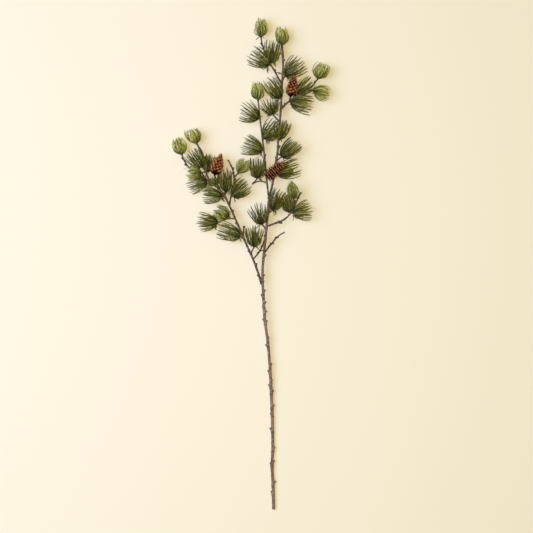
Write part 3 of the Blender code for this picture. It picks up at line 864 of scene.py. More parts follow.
@dataclass(frozen=True)
class ScaleFinish:
    """Dry cone scales: dark at the root, partly their own colour and partly painted shade for the
    gaps between them, reddish on the face, paler at the lip, with spots of painted highlight on it.
    """

    name: str = "cone_scale"
    # partly the scales' own dark root, partly painted shade for the deep gaps between scales
    root: tuple = (0.014, 0.0035, 0.0008)
    face: tuple = (0.130, 0.032, 0.006)
    lip: tuple = (0.43, 0.155, 0.065)
    # painted highlights: pale pinkish spots standing in for gloss on the scale lips
    painted_highlight: tuple = (0.55, 0.30, 0.21)
    dull: tuple = (0.66,) * 3       # what a scale's colour is multiplied by, at the least
    bright: tuple = (1.34,) * 3     # and at the most
    fibre_size: float = 2200        # as noise scales
    fibre_run: float = 0.15         # across against along
    patch_size: float = 380
    highlight_size: float = 650
    levels: tuple = (0.72, 0.90, 1.0)       # where the root, face and lip colours are
    highlight_strength: float = 0.6
    relief: float = 0.18 * MM
    smooth: float = 0.42
    rough: float = 0.60
    specular: float = 0.03

    def material(self) -> bpy.types.Material:
        """Mix the finish.

        Returns:
            The material.
        """
        recipe = Recipe(self.name)
        grain = recipe.guide("grain", "Vector")
        along, tone = recipe.guide("along"), recipe.guide("tone")
        long_grain = recipe.stretched(grain, (1.0, 1.0, self.fibre_run))
        fibres = recipe.noise(long_grain, self.fibre_size, 4)
        patches = recipe.noise(grain, self.patch_size, 3)
        out = recipe.sum_of((along, 1.0), (patches, 0.22), (fibres, 0.14))
        colour = recipe.ramp(out, tuple(zip(self.levels, (self.root, self.face, self.lip))))
        tint = recipe.ramp(tone, ((0.0, self.dull), (1.0, self.bright)))
        colour = recipe.blended(1.0, colour, tint, "MULTIPLY")
        # painted highlights spotted over the lips, more towards the scale ends
        highlight_noise = recipe.noise(grain, self.highlight_size, 1)
        worn = recipe.sum_of((highlight_noise, 1.0), (along, 0.55))
        highlight_share = recipe.remapped(worn, 1.04, 1.16, 0.0, self.highlight_strength)
        colour = recipe.blended(highlight_share, colour, self.painted_highlight)
        recipe.bump(fibres, self.relief)
        roughness = recipe.remapped(patches, 0.3, 0.7, self.smooth, self.rough)
        return recipe.finished(colour, roughness, self.specular)


def seen_share(tree: bpy.types.NodeTree) -> bpy.types.NodeSocket:
    """Tell looking from lighting.

    Args:
        tree: The material's or the world's nodes.

    Returns:
        One where it is looked at, straight or in a reflection or through glass, and
        nought where it only gives light.
    """
    path = tree.nodes.new("ShaderNodeLightPath")
    share = path.outputs["Is Camera Ray"]
    for ray in ("Is Glossy Ray", "Is Transmission Ray"):
        either = tree.nodes.new("ShaderNodeMath")
        either.operation = "MAXIMUM"
        tree.links.new(share, either.inputs[0])
        tree.links.new(path.outputs[ray], either.inputs[1])
        share = either.outputs[0]
    return share


@dataclass(frozen=True)
class FloorFinish:
    """A plain pale floor, which passes into the backdrop well away from the sprig."""

    name: str = "floor"
    colour: tuple = (0.936, 0.874, 0.736)
    rough: float = 0.9
    specular: float = 0.1
    fade_from: float = 0.9      # from the middle of the sprig
    fade_to: float = 2.0

    def material(self) -> bpy.types.Material:
        """Mix the finish.

        Returns:
            The material.
        """
        recipe = Recipe(self.name)
        material = recipe.finished((*self.colour, 1), self.rough, self.specular)
        away = recipe.nodes.new("ShaderNodeVectorMath")
        away.operation = "LENGTH"
        place = recipe.nodes.new("ShaderNodeNewGeometry").outputs["Position"]
        recipe.links.new(place, away.inputs[0])
        far = recipe.remapped(away.outputs["Value"], self.fade_from, self.fade_to, 0.0, 1.0)
        share = recipe.sum_of((far, seen_share(material.node_tree)))
        glow = recipe.nodes.new("ShaderNodeEmission")
        glow.inputs["Color"].default_value = (*BACKDROP, 1)
        mix = recipe.nodes.new("ShaderNodeMixShader")
        for value, socket in zip((share, recipe.shader.outputs[0], glow.outputs[0]), mix.inputs):
            recipe.links.new(value, socket)
        recipe.links.new(mix.outputs[0], recipe.nodes["Material Output"].inputs["Surface"])
        return material


# ------------------------------------------------------------------------------- twigs


# Each stub's rings from its foot to its tip: the share of its length, the radius as a share
# of the tip's, and how dark it is.
STUB_PROFILES = {
    GrowthKind.BUD_SCAR: (
        (0.0, 0.7, 0.0), (0.35, 0.95, 0.0), (0.6, 1.05, 0.0),
        (0.78, 1.1, 0.15), (0.86, 1.18, 0.1), (0.93, 1.02, 0.6),
        (0.98, 1.06, 0.5), (1.04, 0.85, 0.9), (1.06, 0.35, 1.0),
    ),
    GrowthKind.SPIKE: (
        (0.0, 1.9, 0.0), (0.2, 1.5, 0.1), (0.32, 1.1, 0.5), (0.4, 1.2, 0.2),
        (0.5, 1.0, 0.6), (0.62, 1.08, 0.3), (0.7, 0.95, 0.6), (0.84, 1.2, 0.4),
        (0.93, 1.7, 0.6), (1.0, 1.75, 0.9), (1.04, 0.9, 1.0),
    ),
    GrowthKind.SPUR: (
        (0.0, 1.6, 0.0), (0.2, 1.35, 0.0), (0.4, 1.12, 0.3), (0.5, 1.2, 0.1),
        (0.56, 1.02, 0.5), (0.72, 1.1, 0.2), (0.78, 0.96, 0.6), (0.92, 1.05, 0.4),
        (1.0, 0.95, 0.6), (1.03, 0.4, 0.8),
    ),
}


@dataclass
class Twig:
    """A length of twig: furrowed bark over its core line, with scars and spurs.

    Heights of its relief are shares of its radius.
    """

    node: str
    line: CoreLine
    growths: list[Growth]
    rng: np.random.Generator
    cut: bool = False           # whether its base is the sprig's cut end
    sure: bool = True           # whether its scars tell which end is its base
    ring_step: float = 0.8 * MM
    sides: int = 18
    furrow: float = 0.06
    knuckle: float = 0.26
    old_end: float = 24.0 * MM  # how much of the cut twig is oldest and roughest
    cushion: float = 0.30       # how high the bark rises at a spur's foot
    cushion_run: float = 3.4    # how far below a bud scar it starts to rise, in radii
    scar_lean: float = 1.9      # how far below its tip a bud scar starts, for its height
    tip_knob: float = 0.6
    thin_share: float = 0.77    # of the core line's radius, for the youngest bark
    old_share: float = 0.96     # and for the oldest
    young_radius: float = 1.3 * MM
    old_radius: float = 2.6 * MM
    overrun: float = 2.0 * MM   # how far it runs on into the twig that carries it
    stub_sides: int = 12
    stub_uneven: float = 0.08
    stub_age: float = 0.6       # of the bark's own
    knuckle_run: float = 1.0 * MM
    groove_at: float = 1.4 * MM         # past its knuckle
    groove_run: float = 0.7 * MM
    collar_below: float = 4.5 * MM      # how far a collar runs down the twig from its stub
    collar_above: float = 1.6 * MM      # and up it
    collar_dark_run: float = 0.9 * MM
    knob_run: float = 1.3 * MM
    tip_dark_run: float = 1.2 * MM

    RIDGES = (3, 4, 5, 7)       # how many long ridges go round, each with its own course
    WINDING = 18                # radians to a metre
    WAVE = 1.2                  # radians
    WAVES = (60, 160)           # radians of the wave to a metre
    LUMP = 1.6                  # against a furrow
    LUMPS = 900                 # to a metre round the twig
    LONG_LUMPS = 330            # to a metre along it
    FIRST_KNUCKLE = (2, 7)      # millimetres from the base
    OLD_GAPS = (3.5, 5.5)       # millimetres between knuckles
    YOUNG_GAPS = (3.5, 9)
    SMOOTHING = 0.35            # how much lower knuckles are on the oldest of the other twigs
    COLLAR = 0.6                # of a knuckle, where a stub starts
    COLLAR_AT = 0.6             # radii past the stub's foot
    COLLAR_DARK = 0.3
    DOME = (0.92, 0.7)          # where a round tip's rings are; one is its widest
    DOME_RISE = 0.7             # of a round tip, in radii
    DOME_TOP = 0.55             # where it closes, in radii
    DOME_STEP = 0.4             # millimetres of pattern from ring to ring
    SCAR_NARROWNESS = 3.5
    SCAR_SLOPE = 1.5            # the power by which the bark rises to a bud scar
    SCAR_DROP = 9               # how much more steeply it falls again
    SCAR_STAND = 0.2            # of its radius, above its middle
    CUSHION_SPREAD = 2.1        # radii along the twig
    SKEW = 1e-6                 # keeps an upright stub's side from vanishing
    CUT_SHARES = (0.90, 0.88, 0.84, 0.4, 0.12)
    CUT_DEPTHS = (-0.6, 0.05, 0.16, 0.2, 0.05)      # millimetres out from the cut

    @classmethod
    def read(cls, node: str, rng: np.random.Generator, cut: bool = False) -> "Twig":
        """Read a twig from its solid.

        Args:
            node: The node's name.
            rng: Where its chance details come from.
            cut: Whether its base is the sprig's cut end.

        Returns:
            The twig.
        """
        solid = Solid(node)
        line = CoreLine.felt_inside(solid)
        growths = Growth.all_on(solid, line)
        leans = [(g.tip - g.foot) @ line.ways()[line.nearest(g.foot)]
                 for g in growths if g.kind is GrowthKind.BUD_SCAR]
        if sum(leans) < 0:
            line = line.turned()
        return cls(node, line, growths, rng, cut, sure=bool(leans))

    def lean_scars(self) -> None:
        """Let each bud scar rise slantwise from the bark below it."""
        for growth in self.growths:
            if growth.kind is GrowthKind.BUD_SCAR:
                near = self.line.nearest(growth.tip)
                height = np.linalg.norm(growth.tip - self.line.points[near])
                back = round(height * self.scar_lean / CoreLine.STEP)
                growth.foot = self.line.points[max(0, near - back)]

    def fine_line(self) -> tuple[np.ndarray, np.ndarray, np.ndarray]:
        """The core line at the spacing of the bark's rings.

        Returns:
            The points, the radii and the lengths along the twig.
        """
        points, radii = self.line.points, self.line.radii
        if not self.cut:
            before = points[0] - self.line.ways()[0] * self.overrun
            points, radii = np.vstack([before, points]), np.append(radii[0], radii)
        lengths = np.concatenate([[0], np.cumsum(np.linalg.norm(np.diff(points, axis=0), axis=1))])
        count = int(lengths[-1] / self.ring_step) + 1
        along = np.linspace(0, lengths[-1], count)
        fine = np.stack([np.interp(along, lengths, points[:, i]) for i in range(3)], axis=1)
        share = np.interp(self.age(), (0, 1), (self.thin_share, self.old_share))
        return fine, share * np.interp(along, lengths, radii), along

    def relief(self, points: np.ndarray, radii: np.ndarray, along: np.ndarray,
               angles: np.ndarray) -> tuple[np.ndarray, np.ndarray]:
        """How far the bark stands off the core line, ring by ring, and where it is dark.

        Args:
            points: The rings' centres.
            radii: The plain radii.
            along: The lengths along the twig.
            angles: The angles round each ring.

        Returns:
            Radii, rings by angles, and each ring's darkness.
        """
        swell = np.ones((len(along), len(angles)))
        dark = np.zeros(len(along))
        self.add_furrows(swell, radii, along, angles)
        self.add_knuckles(swell, dark, along, angles)
        for growth in self.growths:
            near = nearest_row(points, growth.foot)
            past = along - along[near] - self.COLLAR_AT * radii[near]
            height = np.where(
                past < 0, hump(past, self.collar_below), hump(past, self.collar_above)
            )
            swell += self.COLLAR * self.knuckle * height[:, None]
            dark = np.maximum(dark, self.COLLAR_DARK * hump(past, self.collar_dark_run))
        to_tip = along[-1] - along
        swell += self.tip_knob * hump(to_tip, self.knob_run)[:, None]
        return swell * radii[:, None], np.maximum(dark, np.exp(-to_tip / self.tip_dark_run))

    def add_furrows(
        self, swell: np.ndarray, radii: np.ndarray, along: np.ndarray, angles: np.ndarray
    ) -> None:
        """Add long winding ridges and small lumps to the bark.

        Args:
            swell: What the radii are multiplied by, rings by angles; this is added to.
            radii: The plain radii.
            along: The lengths along the twig.
            angles: The angles round each ring.
        """
        for ridges in self.RIDGES:
            phase = self.rng.uniform(0, math.tau)
            winding = self.rng.normal(0, self.WINDING) * along
            course = winding + self.WAVE * np.sin(along * self.rng.uniform(*self.WAVES))
            swell += self.furrow / 3 * np.cos(ridges * angles + phase + course[:, None])
        seed = Vector(self.rng.uniform(-5, 5, 3))
        for i, (s, r) in enumerate(zip(along, radii)):
            for j, angle in enumerate(angles):
                x, y = math.cos(angle) * r * self.LUMPS, math.sin(angle) * r * self.LUMPS
                place = Vector((x, y, s * self.LONG_LUMPS))
                swell[i, j] += self.LUMP * self.furrow * noise.noise(seed + place)

    def add_knuckles(
        self, swell: np.ndarray, dark: np.ndarray, along: np.ndarray, angles: np.ndarray
    ) -> None:
        """Add the lopsided rings that buds leave, each with a dark groove past it.

        Args:
            swell: What the radii are multiplied by, rings by angles; this is added to.
            dark: Each ring's darkness; this is raised.
            along: The lengths along the twig.
            angles: The angles round each ring.
        """
        at = self.rng.uniform(*self.FIRST_KNUCKLE) * MM
        while at < along[-1]:
            old = self.cut and at < self.old_end
            rough = 1.0 if old else 1 - self.SMOOTHING * self.age()
            bead = hump(along - at, self.knuckle_run)[:, None]
            lobe = 0.45 + 0.55 * np.cos(angles - self.rng.uniform(0, math.tau))
            swell += self.knuckle * rough * self.rng.uniform(0.5, 1.2) * bead * lobe
            groove = hump(along - at - self.groove_at, self.groove_run)
            np.maximum(dark, groove * rough * self.rng.uniform(0.4, 1.0), out=dark)
            at += self.rng.uniform(*(self.OLD_GAPS if old else self.YOUNG_GAPS)) * MM

    def bark(self, mould: Mould) -> None:
        """Loft the bark along the core line, up to a round tip.

        Args:
            mould: Where it goes.
        """
        points, radii, along = self.fine_line()
        angles = angles_round(self.sides)
        ways = unit(np.gradient(points, axis=0))
        sides, ups = spread_frames(ways)
        around = ring_of(sides, ups, angles)
        stands, dark = self.relief(points, radii, along, angles)
        for growth in self.growths:
            stands += self.lean_of(growth, points, radii, along, around)
        end, onward = points[-1], ways[-1] * radii[-1]
        dome = [
            end + onward * (1 - k) * self.DOME_RISE + around[-1] * (stands[-1] * k)[:, None]
            for k in np.sqrt(1 - (1 - np.array(self.DOME)) ** 2)
        ]
        dome.append(dome[-1] * 0.5 + (end + onward * self.DOME_TOP) * 0.5)
        rings = np.concatenate([points[:, None] + around * stands[..., None], dome])
        steps = np.arange(1, 1 + len(dome)) * self.DOME_STEP * MM
        along = np.append(along, along[-1] + steps)
        grain = tube_grain(angles, radii.mean(), along, self.rng)
        dark = np.append(dark, np.ones(len(dome)))
        rings = off_the_floor(rings)
        mould.add_lofts(rings[None], grain[None], dark[None], np.array([self.age()]))

    def age(self) -> float:
        """From 0 for a young dark twig to 1 for thick, weathered bark."""
        known = (self.young_radius, self.old_radius)
        return float(np.interp(self.line.radii.mean(), known, (0, 1)))

    def lean_of(
        self, growth: Growth, points: np.ndarray, radii: np.ndarray, along: np.ndarray,
        around: np.ndarray,
    ) -> np.ndarray:
        """How far the bark rises towards a stub, as a cushion that runs up to it.

        Args:
            growth: The stub.
            points: The rings' centres.
            radii: The plain radii.
            along: The lengths along the twig.
            around: The directions round each ring.

        Returns:
            Heights, rings by angles.
        """
        if growth.kind is GrowthKind.BUD_SCAR:
            near = nearest_row(points, growth.tip)
            off = growth.tip - points[near]
            facing = np.exp(self.SCAR_NARROWNESS * (around @ unit(off) - 1))
            past = (along - along[near]) / (self.cushion_run * radii[near])
            rise = np.clip(1 + past, 0, 1) ** self.SCAR_SLOPE
            fall = np.clip(1 - past * self.SCAR_DROP, 0, 1)
            height = float(np.linalg.norm(off)) + self.SCAR_STAND * growth.radius - radii[near]
            return max(0.0, height) * facing * np.where(past < 0, rise, fall)[:, None]
        near = nearest_row(points, growth.foot)
        way = unit(growth.tip - growth.foot)
        facing = np.clip(around @ way, 0, 1) ** 3
        run = hump(along - along[near], self.CUSHION_SPREAD * radii[near])
        return self.cushion * radii[near] * facing * run[:, None]

    def stub(self, mould: Mould, growth: Growth) -> None:
        """Loft one stub: a barrel with ring scars and a blunt end.

        Args:
            mould: Where it goes.
            growth: The stub.
        """
        way = unit(growth.tip - growth.foot)
        length = float(np.linalg.norm(growth.tip - growth.foot))
        shares, swells, scars = (np.array(column) for column in zip(*STUB_PROFILES[growth.kind]))
        centres = growth.foot + way * (shares * length)[:, None]
        side = unit(np.cross(way, UPRIGHT) + self.SKEW)
        up = np.cross(side, way)
        angles = angles_round(self.stub_sides)
        spokes = ring_of(side[None], up[None], angles) * (swells * growth.radius)[:, None, None]
        chance = self.rng.standard_normal((len(shares), self.stub_sides))
        uneven = 1 + self.stub_uneven * chance
        rings = off_the_floor(centres[:, None] + spokes * uneven[..., None])
        grain = tube_grain(angles, growth.radius, shares * length, self.rng)
        tone = np.array([self.stub_age * self.age()])
        mould.add_lofts(rings[None], grain[None], scars[None], tone)

    def cut_face(self, mould: Mould) -> None:
        """Loft the pale wood that shows in the cut end, with its pith.

        Args:
            mould: Where it goes.
        """
        out = -self.line.ways()[0]
        shares, depths = np.array(self.CUT_SHARES), np.array(self.CUT_DEPTHS) * MM
        sides, ups = spread_frames(out[None])
        around = ring_of(sides, ups, angles_round(self.sides))
        spokes = around * (shares * self.line.radii[0])[:, None, None]
        rings = off_the_floor(self.line.points[0] + out * depths[:, None, None] + spokes)
        grain = spokes + self.rng.uniform(-1, 1, 3)
        mould.add_lofts(rings[None], grain[None], shares[None], np.array([0.5]), 1)

    def build(
        self, bark: bpy.types.Material, cut_wood: bpy.types.Material
    ) -> bpy.types.Object:
        """Make the twig's piece and put it in its solid's place.

        Args:
            bark: Its finish.
            cut_wood: The finish of a cut end.

        Returns:
            The piece.
        """
        mould = Mould()
        self.bark(mould)
        for growth in self.growths:
            self.stub(mould, growth)
        if self.cut:
            self.cut_face(mould)
        piece = mould.piece(self.node + "_bark", [bark, cut_wood] if self.cut else [bark])
        return placed(piece, self.node)


# ------------------------------------------------------------------------ needle tufts


class Age(Enum):
    """How far a tuft has opened."""

    GROWN = "full-grown, fanned out"
    YOUNG = "half open, closing over at the tips"


@dataclass(frozen=True)
class Habit:
    """How the needles of an age stand.

    Bows and tips are for the outermost needles of a cup and of a fan: shares of the
    tuft's half-width and of its reach. A tuft is the more of a fan the wider it is.
    """

    needles: int
    width: float
    bow_low: tuple[tuple[float, float], tuple[float, float]]
    bow_high: tuple[tuple[float, float], tuple[float, float]]
    tip: tuple[tuple[float, float], tuple[float, float]]
    fan_from: float             # the half-width, against the reach, up to which it is a cup
    fan_to: float               # and from which it is a fan
    long_ones: tuple[float, float]      # lengths against the reach
    short_ones: tuple[float, float]
    long_share: float           # one needle in so many is a long one
    slender: float              # how much thinner the short ones are
    raised: float               # how much more they spring from the top; 1 is evenly
    scatter: float              # how far they wander, against the reach
    swirl: float                # how far they bend sideways, against the mean half-width
    strays: int

    def between(self, pair: tuple, fan: float) -> np.ndarray:
        """A value part of the way from a cup's to a fan's."""
        return np.array(pair[0]) * (1 - fan) + np.array(pair[1]) * fan


HABITS = {
    Age.GROWN: Habit(
        needles=56, width=1.9 * MM,
        bow_low=((0.58, 0.10), (0.44, 0.10)), bow_high=((1.16, 0.42), (0.84, 0.32)),
        tip=((1.04, 0.92), (1.20, 0.64)), fan_from=0.38, fan_to=0.52,
        long_ones=(0.94, 1.10), short_ones=(0.34, 0.80), long_share=3.9, slender=0.25,
        raised=1.5, scatter=0.03, swirl=0.05, strays=10,
    ),
    Age.YOUNG: Habit(
        needles=44, width=1.4 * MM,
        bow_low=((0.66, 0.14), (0.66, 0.14)), bow_high=((1.56, 0.54), (1.52, 0.58)),
        tip=((0.22, 1.06), (0.66, 0.98)), fan_from=0.38, fan_to=0.46,
        long_ones=(0.88, 1.07), short_ones=(0.52, 0.95), long_share=2.2, slender=0.0,
        raised=1.3, scatter=0.07, swirl=0.28, strays=3,
    ),
}


# A needle's width as shares of its full width, at shares of its length.
NEEDLE_TAPER = ((0, 0.1, 0.3, 0.8, 0.96, 1.0), (0.6, 0.8, 1.0, 1.0, 0.85, 0.4))

# A tuft's spur: shares of its length, which starts inside the twig, and of its radius.
SPUR_PROFILE = (
    (-0.9, 0.75), (-0.3, 0.85), (0.0, 0.95), (0.22, 1.1), (0.3, 0.98), (0.52, 1.12), (0.6, 1.0),
    (0.82, 1.08), (0.95, 0.8), (1.0, 0.3),
)


@dataclass
class Tuft:
    """A bunch of needles on a short spur, which fills its solid's outer form."""

    node: str
    age: Age
    rng: np.random.Generator
    solid: Solid
    cones: list[Solid]
    rings: int = 11
    spur_length: float = 2.4 * MM
    spur_radius: float = 1.35 * MM
    spur_sides: int = 12
    over_cone: float = 7 * MM   # how far below a cone's top a needle still counts as over it
    base: np.ndarray = field(init=False)
    heading: np.ndarray = field(init=False)
    side: np.ndarray = field(init=False)
    up: np.ndarray = field(init=False)
    reach: float = field(init=False)
    half_width: float = field(init=False)
    half_height: float = field(init=False)
    fan: float = field(init=False)

    FLATNESS = 0.86             # its height against its width
    UNEVENNESS = 0.35           # of the needles' places from side to side
    CROWN = 2.2                 # the power by which needles get shorter towards its edge
    SHORT_SPREAD = 0.25         # how far out a needle reaches, however short it is
    PAST_SOLID = 1.25           # how far a needle may reach, against its solid
    LEAST_FIT = 0.88            # and at least, against its own length
    ROOTED = 0.8                # how much of the spur the needles spring from
    LOW_RISE = 0.22             # how much higher the inner needles bow, against the reach
    HIGH_RISE = 0.16
    STRAY_TURN = 0.5            # radians, from straight out sideways
    STRAY_LENGTHS = (0.25, 0.90)
    STRAY_RISES = (-0.25, 0.45)
    BY_THE_ROOT = 2             # rings that may be over a cone
    TWIST = 0.5                 # radians
    SIZES = (0.88, 1.12)
    DEPTH = 0.7                 # of a needle against its width
    SHORT_OF_TIP = 0.22         # how much less far a short needle's colour runs
    TONES = (0.2, 0.65)         # the lowest and the range
    SHORT_TONES = (-0.1, 0.25)  # what is added to them for a short needle
    SPUR_SCARRED = 0.4
    YOUNG_LIGHT = ((0.10, 0.20), (0.76, 1.0))       # by how far up the sprig it grows
    # painted light and shade: a grown tuft is lighter where it points sideways, darker where it
    # points along the sprig
    GROWN_PAINTED_LIGHT = ((-1, 0, 0.6, 1), (1.05, 0.82, 0.86, 1.05))   # by its heading

    def __post_init__(self) -> None:
        """Measure the solid back from its apex, through which its axis runs."""
        apex, self.heading = self.solid.apex()
        self.reach = self.solid.exit_from(apex, -self.heading)
        self.base = apex - self.heading * self.reach
        sides, ups = spread_frames(self.heading[None])
        self.side, self.up = sides[0], ups[0]
        self.half_width = float(np.abs((self.solid.points - self.base) @ self.side).max())
        self.half_height = self.half_width * self.FLATNESS
        habit = HABITS[self.age]
        slimness = self.half_width / self.reach
        self.fan = float(np.interp(slimness, (habit.fan_from, habit.fan_to), (0, 1)))

    def outwards(self, turns: np.ndarray) -> np.ndarray:
        """From the axis to the form's widest.

        Args:
            turns: Angles round the axis.

        Returns:
            A vector for each.
        """
        across = self.half_width * np.cos(turns)
        above = self.half_height * np.sin(turns)
        return self.side * across[:, None] + self.up * above[:, None]

    def short(self, habit: Habit) -> np.ndarray:
        """Which needles are short ones."""
        return np.arange(habit.needles) % habit.long_share >= 1

    def stances(self, habit: Habit) -> tuple[np.ndarray, np.ndarray]:
        """Where in the tuft each needle stands, evenly from side to side.

        Args:
            habit: How the needles stand.

        Returns:
            How far out they are, from nought to one, and their angles round the axis.
        """
        numbers = np.arange(habit.needles)
        places = 2 * numbers + 1 + self.rng.normal(0, self.UNEVENNESS, habit.needles)
        across = np.clip(places / habit.needles - 1, -0.99, 0.99)
        above = 1 - 2 * ((numbers * GOLDEN_SHARE + self.rng.uniform()) % 1) ** habit.raised
        above *= np.sqrt(1 - across**2)
        return np.hypot(across, above), np.arctan2(above, across)

    def curves(self, habit: Habit) -> tuple[np.ndarray, np.ndarray]:
        """Each needle's middle line, which leaves the spur sideways and turns up.

        Args:
            habit: How the needles stand.

        Returns:
            The lines' points, needles by rings by three, and the level direction
            across each needle.
        """
        shares, turns = self.stances(habit)
        outwards = self.outwards(turns)
        level = unit(np.cross(self.heading, unit(outwards)))
        ranges = np.where(self.short(habit)[:, None], habit.short_ones, habit.long_ones)
        length = self.rng.uniform(ranges[:, 0], ranges[:, 1])
        low, high, tip = (
            habit.between(pair, self.fan) for pair in (habit.bow_low, habit.bow_high, habit.tip)
        )
        tip_up = self.reach * (1 - (1 - tip[1]) * shares**self.CROWN) * length
        tip_out = shares * tip[0] * (self.SHORT_SPREAD + (1 - self.SHORT_SPREAD) * length)
        nominal = outwards * tip_out[:, None] + self.heading * tip_up[:, None]
        sizes = np.linalg.norm(nominal, axis=1)
        exits = np.array([self.solid.exit_from(self.base, way) for way in unit(nominal)])
        fitted = np.maximum(exits * self.PAST_SOLID, sizes * self.LEAST_FIT)
        fit = np.clip(fitted / sizes, 0, 1)[:, None]
        lean = self.rng.normal(0, habit.scatter, (2, habit.needles, 3)) * self.reach
        swirl = self.rng.normal(0, habit.swirl, (habit.needles, 1))
        swirl = swirl * (self.half_width + self.half_height) / 2 * level
        rooted = shares * self.ROOTED
        root = self.base + self.heading * self.spur_length
        root = root + unit(outwards) * (rooted * self.spur_radius)[:, None]
        root = root - self.heading * (rooted * self.spur_length)[:, None]
        first_up = (low[1] + self.LOW_RISE * (1 - shares)) * self.reach
        first = self.base + lean[0] * 0.5 + fit * (
            outwards * (shares * low[0])[:, None] + self.heading * first_up[:, None]
        )
        second_up = (high[1] + self.HIGH_RISE * (1 - shares)) * self.reach * length
        second = self.base + lean[0] + 0.5 * swirl + fit * (
            outwards * (shares * high[0])[:, None] + self.heading * second_up[:, None]
        )
        last = self.base + lean[1] * 0.6 + swirl + fit * nominal
        return self.bent(root, first, second, last), level

    def stray_curves(self, habit: Habit) -> tuple[np.ndarray, np.ndarray]:
        """A few loose needles that hang back or stick out from the foot of the tuft.

        Args:
            habit: How the needles stand.

        Returns:
            The lines' points and the directions across them.
        """
        count = habit.strays
        turns = self.rng.choice((0, math.pi), count) + self.rng.normal(0, self.STRAY_TURN, count)
        outwards = self.outwards(turns)
        length = self.rng.uniform(*self.STRAY_LENGTHS, count)[:, None]
        rise = self.rng.uniform(*self.STRAY_RISES, count)[:, None] * self.reach
        root = self.base + self.heading * self.spur_length * 0.3 + np.zeros_like(outwards)
        last = self.base + outwards * length + self.heading * rise * length
        first = root + (last - root) * 0.3 + self.heading * 0.06 * self.reach
        second = root + (last - root) * 0.7 + self.heading * 0.08 * self.reach
        return self.bent(root, first, second, last), unit(np.cross(self.heading, unit(outwards)))

    def brightness_by_place(self) -> float:
        """How bright it is: a young tuft is darker low on the sprig, and a grown one gets painted
        shade as it points along the sprig and painted light as it turns sideways.

        Returns:
            What its needles' tones are multiplied by.
        """
        if self.age is Age.YOUNG:
            return float(np.interp(self.base[1], *self.YOUNG_LIGHT))
        return float(np.interp(self.heading[0], *self.GROWN_PAINTED_LIGHT))

    def over_a_cone(self, line: np.ndarray) -> bool:
        """Whether a needle would lie across the top of a cone.

        Args:
            line: The points of the needle's middle line.

        Returns:
            Whether more than one of the points past its root does.
        """
        outer = line[self.BY_THE_ROOT:]
        for cone in self.cones:
            tops = [cone.tree.ray_cast(Vector((x, y, 1.0)), Vector((0, 0, -1)))[0]
                    for x, y, _ in outer]
            over = [top is not None and z > top.z - self.over_cone
                    for top, z in zip(tops, outer[:, 2])]
            if sum(over) > 1:
                return True
        return False

    def bent(self, *controls: np.ndarray) -> np.ndarray:
        """Smooth curves, each from its first control point to its last.

        Args:
            controls: Four control points for each curve, as four arrays.

        Returns:
            The points, curves by rings by three.
        """
        t = np.linspace(0, 1, self.rings)[None, :, None]
        weights = ((1 - t) ** 3, 3 * (1 - t) ** 2 * t, 3 * (1 - t) * t**2, t**3)
        return sum(point[:, None] * weight for point, weight in zip(controls, weights))

    def needles(self, mould: Mould) -> None:
        """Loft every needle: flat, keeled and pointed.

        Args:
            mould: Where they go.
        """
        habit = HABITS[self.age]
        bunch, strays = self.curves(habit), self.stray_curves(habit)
        lines, across = (np.concatenate(pair) for pair in zip(bunch, strays))
        light = np.append(self.short(habit), np.zeros(habit.strays))
        clear = np.array([not self.over_a_cone(line) for line in lines])
        lines, across, light = lines[clear], across[clear], light[clear]
        count = len(lines)
        ways = unit(np.gradient(lines, axis=1))
        level = across[:, None] - ways * np.sum(across[:, None] * ways, axis=2, keepdims=True)
        level = unit(level)
        keel = np.cross(ways, level)
        t = np.linspace(0, 1, self.rings)
        start, gain = self.rng.normal(0, self.TWIST, (2, count, 1, 1))
        twist = start + gain * t[None, :, None]
        flat = level * np.cos(twist) + keel * np.sin(twist)
        deep = keel * np.cos(twist) - level * np.sin(twist)
        sizes = self.rng.uniform(*self.SIZES, count) * (1 - habit.slender * light)
        widths = habit.width / 2 * np.interp(t, *NEEDLE_TAPER)[None, :] * sizes[:, None]
        depths = widths * self.DEPTH
        wide, thick = flat * widths[..., None], deep * depths[..., None]
        rings = np.stack([lines + wide, lines + thick, lines - wide, lines - thick], axis=2)
        lengths = np.linalg.norm(np.diff(lines, axis=1), axis=2).cumsum(axis=1)
        lengths = np.concatenate([np.zeros((count, 1)), lengths], axis=1)
        grain = np.zeros(rings.shape)
        grain[..., 0, 0], grain[..., 2, 0] = widths, -widths
        grain[..., 1, 1], grain[..., 3, 1] = depths, -depths
        grain[..., 2] = lengths[..., None]
        grain += self.rng.uniform(-1, 1, (count, 1, 1, 3))
        along = t * (1 - self.SHORT_OF_TIP * light[:, None])
        chance = (np.arange(count) * math.sqrt(2) + self.rng.uniform()) % 1
        lowest, spread = (
            tone + change * light for tone, change in zip(self.TONES, self.SHORT_TONES)
        )
        # each needle's own chance of tone, with painted light and shade by the tuft's heading or
        # place
        tones = (lowest + spread * chance) * self.brightness_by_place()
        mould.add_lofts(off_the_floor(rings), grain, along, np.minimum(tones, 1.0))

    def spur(self, mould: Mould) -> None:
        """Loft the short woody spur that the needles spring from.

        Args:
            mould: Where it goes.
        """
        shares, swells = (np.array(column) for column in zip(*SPUR_PROFILE))
        angles = angles_round(self.spur_sides)
        around = ring_of(self.side[None], self.up[None], angles)
        centres = self.base + self.heading * (shares * self.spur_length)[:, None]
        rings = centres[:, None] + around * (swells * self.spur_radius)[:, None, None]
        grain = tube_grain(angles, self.spur_radius, shares * self.spur_length, self.rng)
        scarred = np.full(len(shares), self.SPUR_SCARRED)
        mould.add_lofts(rings[None], grain[None], scarred[None], np.array([0.5]), 1)

